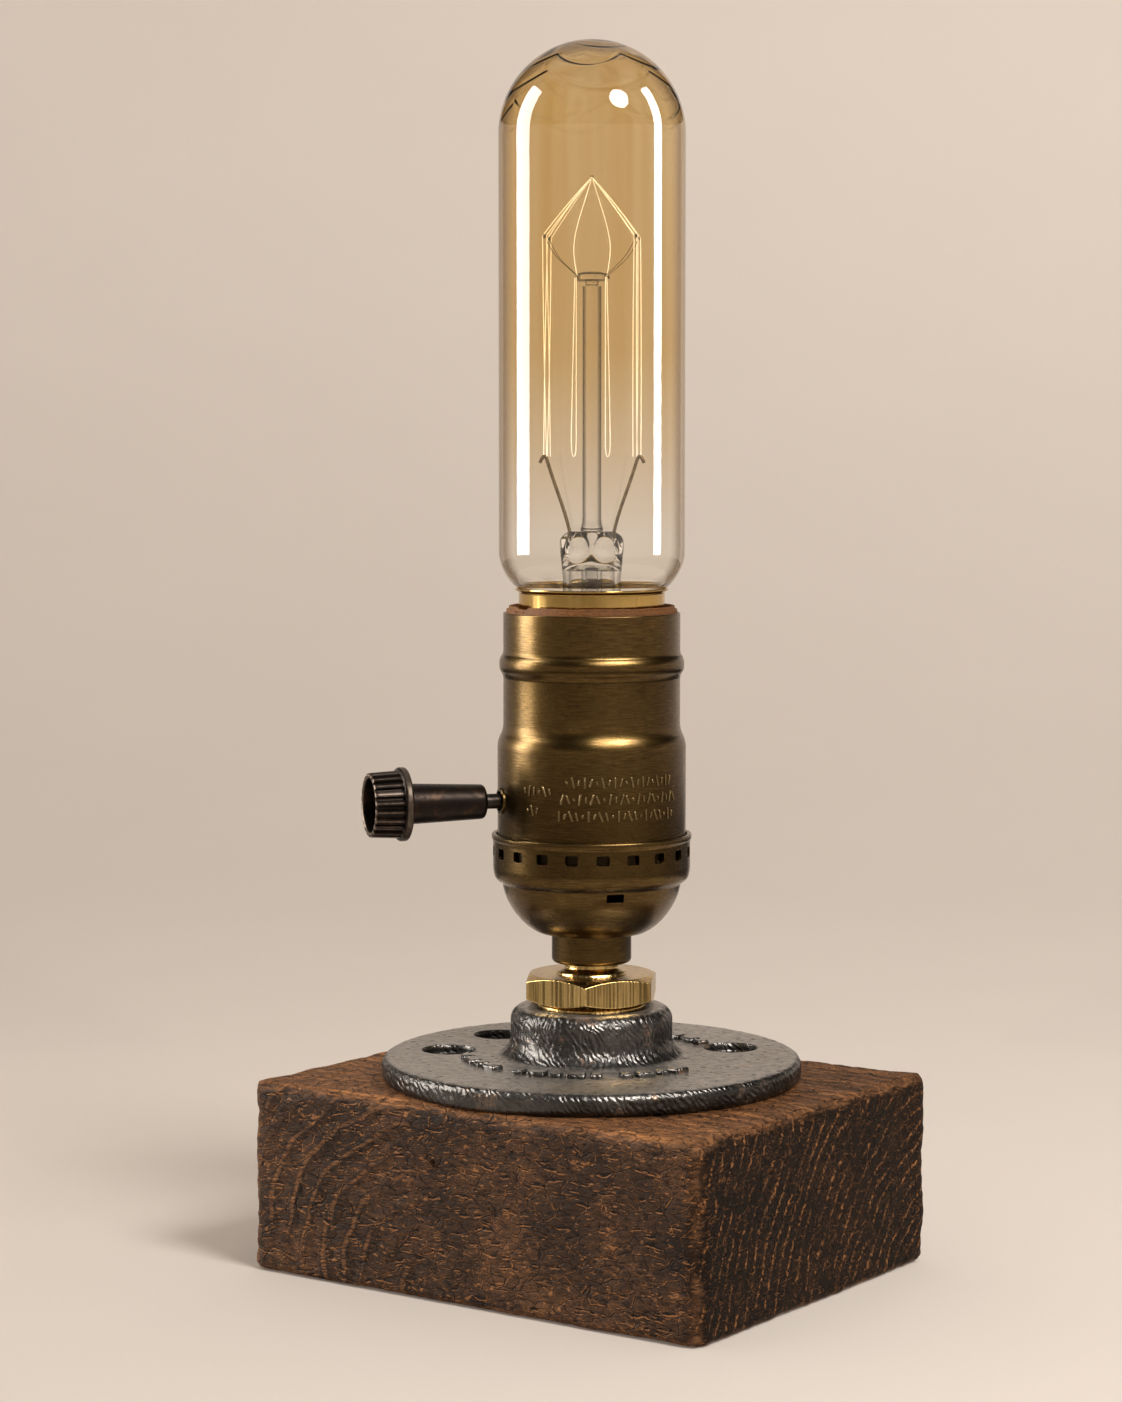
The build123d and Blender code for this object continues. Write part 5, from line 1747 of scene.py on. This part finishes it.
# Studio: a round sweep of pale paper, softboxes and a warm fill
SWEEP_WALL = 1500.0
SWEEP_HIGH = 1900.0
SWEEP_ROUND = 1000.0
FLOOR_HEIGHT = -0.05
WALL_GLOW = 0.165
WALL_GLOW_ASIDE = 0.10
FLOOR_GLOW_ASIDE = 0.03
CURTAIN_RADIUS = 1300.0
CURTAIN_HALF = 156.0
CURTAIN_FOOT = 260.0
WARM_LIGHT = (1.0, 0.97, 0.93)
FILL_STRENGTH = 0.42
CLIP_RANGE = (0.01, 10)
# Shape, degrees to the right of the camera, elevation, distance, size, power and aimed height of each softbox
SOFTBOXES = {
    "key_box": ("ELLIPSE", 38, 42, 950, (350, 350), 7.2, 110),
    "left_strip": ("RECTANGLE", -94, 8, 800, (320, 1100), 18.0, 160),
    "right_strip": ("RECTANGLE", 87, 12, 800, (180, 1000), 14.0, 160),
    "gloss_box": ("RECTANGLE", 36, 42, 950, (820, 300), 13.0, 110),
}
GLASS_PIECES = ("blown_envelope", "glass_rod", "glass_button", "stem_press")
METAL_PIECES = (
    "spun_shell",
    "pressed_cap",
    "stamped_bars",
    "hexagon_bushing",
    "flared_nipple",
    "flange_casting",
    "cast_bars",
)


def paper():
    """Pale paper, lit from behind where it rises, a little more on the right of the photograph."""
    finish = Finish("studio_paper")
    grain = finish.noise(1.2, 4, 0.65)
    cloud = finish.noise(160, 3, 0.55)
    tone = finish.ramp(cloud, (0.3, (0.67, 0.61, 0.55)), (0.7, (0.69, 0.63, 0.57)))
    grained = finish.mix(finish.ramp(grain, (0.3, 0.0), (0.7, 0.12)), tone, (0.58, 0.525, 0.47))
    turned_place = finish.stretch((1, 1, 1), turn=(0, 0, -math.radians(VIEW_AZIMUTH)))
    across = finish.node("ShaderNodeSeparateXYZ", {"Vector": turned_place})
    aside = finish.step(across.outputs["X"], -0.45, 0.45)
    risen = finish.step(finish.height(), -260.0, 380.0)
    glow = finish.product(risen, finish.sum(finish.product(aside, WALL_GLOW_ASIDE), WALL_GLOW))
    glow = finish.sum(glow, finish.product(aside, FLOOR_GLOW_ASIDE))
    finish.set(
        base_color=grained,
        roughness=0.85,
        emission_color=(1.0, 0.885, 0.785, 1),
        emission_strength=glow,
    )
    finish.relief(grain, 0.05, 0.25)
    return finish.material


def paper_sweep():
    bm = turned(
        [(0, FLOOR_HEIGHT), (SWEEP_WALL, FLOOR_HEIGHT, SWEEP_ROUND), (SWEEP_WALL, SWEEP_HIGH)],
        160,
        closed=False,
        rounds=24,
    )
    bmesh.ops.reverse_faces(bm, faces=bm.faces)
    obj = mesh_object(bm, "paper_sweep")
    obj.data.materials.append(paper())
    obj.data.shade_smooth()


def dark_curtain():
    """Black cloth behind the camera, there only for the gloss of the metal and the glass."""
    bm = bmesh.new()
    draw_section(bm, [(CURTAIN_FOOT, 1), (CURTAIN_RADIUS, 40), (CURTAIN_RADIUS, SWEEP_HIGH)], closed=False)
    move(bm, Matrix.Rotation(math.radians(VIEW_AZIMUTH - 90 - CURTAIN_HALF), 4, "Z"))
    spin(bm, math.radians(2 * CURTAIN_HALF), 48)
    obj = mesh_object(bm, "dark_curtain")
    obj.data.materials.append(moulded("black_cloth", (0.02, 0.018, 0.016), (0.012, 0.011, 0.010), 0.9))
    obj.visible_camera = False
    obj.visible_diffuse = False
    obj.visible_transmission = False
    obj.visible_shadow = False


def softbox(name, shape, azimuth, elevation, distance, size, power, aim_height):
    """Area light round the lamp, which neither the camera nor the glass shows."""
    bearing = VIEW_AZIMUTH - 90 + azimuth
    rise = math.radians(elevation)
    away = bearing_vector(bearing) * math.cos(rise) + UP * math.sin(rise)
    aim = Vector((0, 0, aim_height * MM))
    light = bpy.data.lights.new(name, "AREA")
    light.shape = shape
    light.size, light.size_y = size[0] * MM, size[1] * MM
    light.energy = power
    light.color = WARM_LIGHT
    obj = bpy.data.objects.new(name, light)
    obj.location = aim + away * distance * MM
    obj.rotation_mode = "QUATERNION"
    obj.rotation_quaternion = away.to_track_quat("Z", "Y")
    obj.visible_camera = False
    obj.visible_transmission = False
    bpy.context.scene.collection.objects.link(obj)
    return obj


def shine_on(light, names, state="INCLUDE"):
    """Limits a light to some pieces, or keeps it off them."""
    lit = bpy.data.collections.new(light.name + "_pieces")
    for name in names:
        lit.objects.link(bpy.data.objects[name])
    for linked in lit.collection_objects:
        linked.light_linking.link_state = state
    light.light_linking.receiver_collection = lit


def studio():
    boxes = {name: softbox(name, *numbers) for name, numbers in SOFTBOXES.items()}
    shine_on(boxes["left_strip"], ("paper_sweep",), "EXCLUDE")
    shine_on(boxes["right_strip"], GLASS_PIECES)
    shine_on(boxes["gloss_box"], METAL_PIECES)
    world = bpy.data.worlds.new("studio_fill")
    world.use_nodes = True
    fill = world.node_tree.nodes["Background"]
    fill.inputs["Color"].default_value = (*WARM_LIGHT, 1)
    fill.inputs["Strength"].default_value = FILL_STRENGTH
    bpy.context.scene.world = world


def photo_camera():
    azimuth, rise = math.radians(VIEW_AZIMUTH), math.radians(VIEW_ELEVATION)
    back = Vector((math.sin(azimuth) * math.cos(rise), -math.cos(azimuth) * math.cos(rise), math.sin(rise)))
    right = Vector((math.cos(azimuth), math.sin(azimuth), 0))
    lens = bpy.data.cameras.new("photo_camera")
    lens.sensor_width = SENSOR
    lens.lens = FOCAL_PIXELS / IMAGE_LONG_SIDE * SENSOR
    lens.clip_start, lens.clip_end = CLIP_RANGE
    camera = bpy.data.objects.new("photo_camera", lens)
    camera.location = (right * TARGET_ASIDE + UP * TARGET_HEIGHT + back * VIEW_DISTANCE) * MM
    camera.rotation_mode = "QUATERNION"
    camera.rotation_quaternion = back.to_track_quat("Z", "Y")
    bpy.context.scene.collection.objects.link(camera)
    bpy.context.scene.camera = camera


paper_sweep()
dark_curtain()
studio()
photo_camera()
bpy.context.scene.view_settings.view_transform = "Standard"
